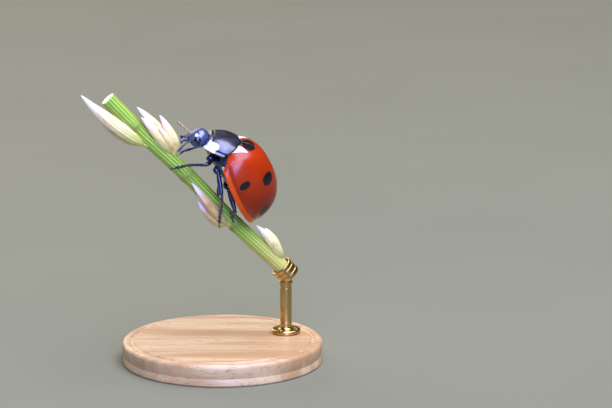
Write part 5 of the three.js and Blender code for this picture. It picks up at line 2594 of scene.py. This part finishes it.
@dataclass(frozen=True)
class SoftLight:
    """A soft round light; azimuth 0 is on the camera's side and 90 on the right, all angles in degrees."""

    name: str
    azimuth: float
    elevation: float
    spread: float
    radiance: float
    colour: str
    distance: float = 0.6

    def build(self, target: Vector) -> None:
        """Adds the light.

        Args:
            target: place that it faces, in metres.
        """
        around, up = math.radians(self.azimuth), math.radians(self.elevation)
        towards = Vector((math.sin(around) * math.cos(up), -math.cos(around) * math.cos(up), math.sin(up)))
        radius = self.distance * math.tan(math.radians(self.spread))
        data = bpy.data.lights.new(self.name, "AREA")
        data.shape = "DISK"
        data.size = 2 * radius
        data.energy = self.radiance * math.pi * math.pi * radius**2
        data.color = linear(self.colour)[:3]
        lamp = placed(self.name, data)
        lamp.location = target + towards * self.distance
        lamp.rotation_euler = towards.to_track_quat("Z", "Y").to_euler()
        lamp.visible_camera = False


@dataclass
class Studio:
    """The set: a matt floor, soft lights, an even surround and the camera."""

    target: Point = (0, 0, 11)
    floor_radius: float = 1000.0
    floor_depth: float = 0.4
    floor_start: float = 0.5
    surround: str = "#dcd6b8"
    surround_strength: float = 0.12
    elevation: float = math.radians(12)
    centre_right: float = 5.997
    centre_up: float = -1.865
    frame_width: float = 43.38
    lens: float = 150.0
    sensor: float = 36.0
    clip: Station = (0.005, 5.0)
    lights: tuple[SoftLight, ...] = (
        SoftLight("top_softbox", 90, 72, 24, 9.2, "#dcdcff"),
        SoftLight("front_softbox", 14, 46, 26, 9.2, "#ccd2ff"),
        SoftLight("front_window", 8, 13, 14, 17.0, "#7c98ff"),
        SoftLight("back_fill", -150, 24, 24, 2.4, "#fff0d8"),
    )

    def build_floor(self) -> None:
        """Adds the floor, a wide sheet of matt paper."""
        near, far, low = self.floor_start, self.floor_radius, -self.floor_depth
        disc = lathe([(near, low), (far, low), (far, 0.0), (near, 0.0)])
        floor = Shape().rings(disc).build("floor_paper", ROW)
        floor.data.materials.append(BackdropPaper().build())

    def build_camera(self) -> None:
        """Adds the camera, which looks slightly down on the insect's left side."""
        data = bpy.data.cameras.new("camera")
        data.lens, data.sensor_width = self.lens, self.sensor
        data.clip_start, data.clip_end = self.clip
        back = Vector((0, -math.cos(self.elevation), math.sin(self.elevation)))
        up = Vector((0, math.sin(self.elevation), math.cos(self.elevation)))
        centre = Vector((self.centre_right, 0, POSE.height)) + self.centre_up * up
        camera = placed("camera", data)
        camera.location = (centre + back * (self.frame_width * self.lens / self.sensor)) * MM
        camera.rotation_euler = back.to_track_quat("Z", "Y").to_euler()
        bpy.context.scene.camera = camera

    def build(self) -> None:
        """Builds the whole set."""
        scene = bpy.context.scene
        scene.view_settings.view_transform = "Standard"
        world = bpy.data.worlds.new("surround")
        world.use_nodes = True
        world.node_tree.nodes.clear()
        inputs = {"Color": linear(self.surround), "Strength": self.surround_strength}
        glow = add_node(world.node_tree, "ShaderNodeBackground", None, inputs)
        add_node(world.node_tree, "ShaderNodeOutputWorld", None, {"Surface": glow.outputs[0]})
        scene.world = world
        for light in self.lights:
            light.build(Vector(self.target) * MM)
        self.build_floor()
        self.build_camera()


# ---------------- the model


SHIELD_CHITIN = BlackChitin(
    "Chitin_black_shield", "#0c0c0e", "#dfe2ff", roughness=0.3, index=1.85, markings=Markings.SHIELD
)
FLANK_CHITIN = BlackChitin("Chitin_black_flank", markings=Markings.FLANK)
# The face's blue tone is a painted blue reflection on black chitin.
FACE_CHITIN = BlackChitin(
    "Chitin_black_face", "#2b3354", "#c4ccff", roughness=0.36, index=2.4, markings=Markings.FACE
)
JOINT_CHITIN = PaleChitin("Chitin_joint_membrane", "#8a6a58", "#3a2620")
HUSKS = {
    "fore": GrassHusk("Grass_husk_fore", base="#c6bc66", flank="#fbd797", tip="#f4dac8", stripe="#b6b63e"),
    "aft": GrassHusk("Grass_husk_aft", base="#b4b056", flank="#ead292", tip="#ecdfb6"),
    "near": GrassHusk("Grass_husk_near", base="#c2aa60", flank="#dfa877", tip="#dccfcf", blush="#ae6e44"),
    "under": GrassHusk("Grass_husk_under", base="#b2b048", flank="#f0d09a", tip="#eedfbe"),
}


def main() -> None:
    """Builds every sub-assembly, then the set."""
    black, horn, coat = BlackChitin().build(), PaleChitin().build(), Coat(Bristle().build())
    cases, shield = WingCases(WingCaseChitin().build()), Shield(SHIELD_CHITIN.build())
    grass = Grass(GrassStem().build(), {name: husk.build() for name, husk in HUSKS.items()})
    parts = (
        cases,
        Scutellum(black),
        shield,
        Trunk(cases, shield, FLANK_CHITIN.build(), black),
        Head(black, FACE_CHITIN.build(), horn, EyeLens().build(), coat),
        Limbs(grass, black, JOINT_CHITIN.build(), coat),
        grass,
        Stand(grass, BeechWood().build(), TurnedBrass().build()),
        Studio(),
    )
    for part in parts:
        LOG.info("building %s", type(part).__name__)
        part.build()


if __name__ == "__main__":
    main()
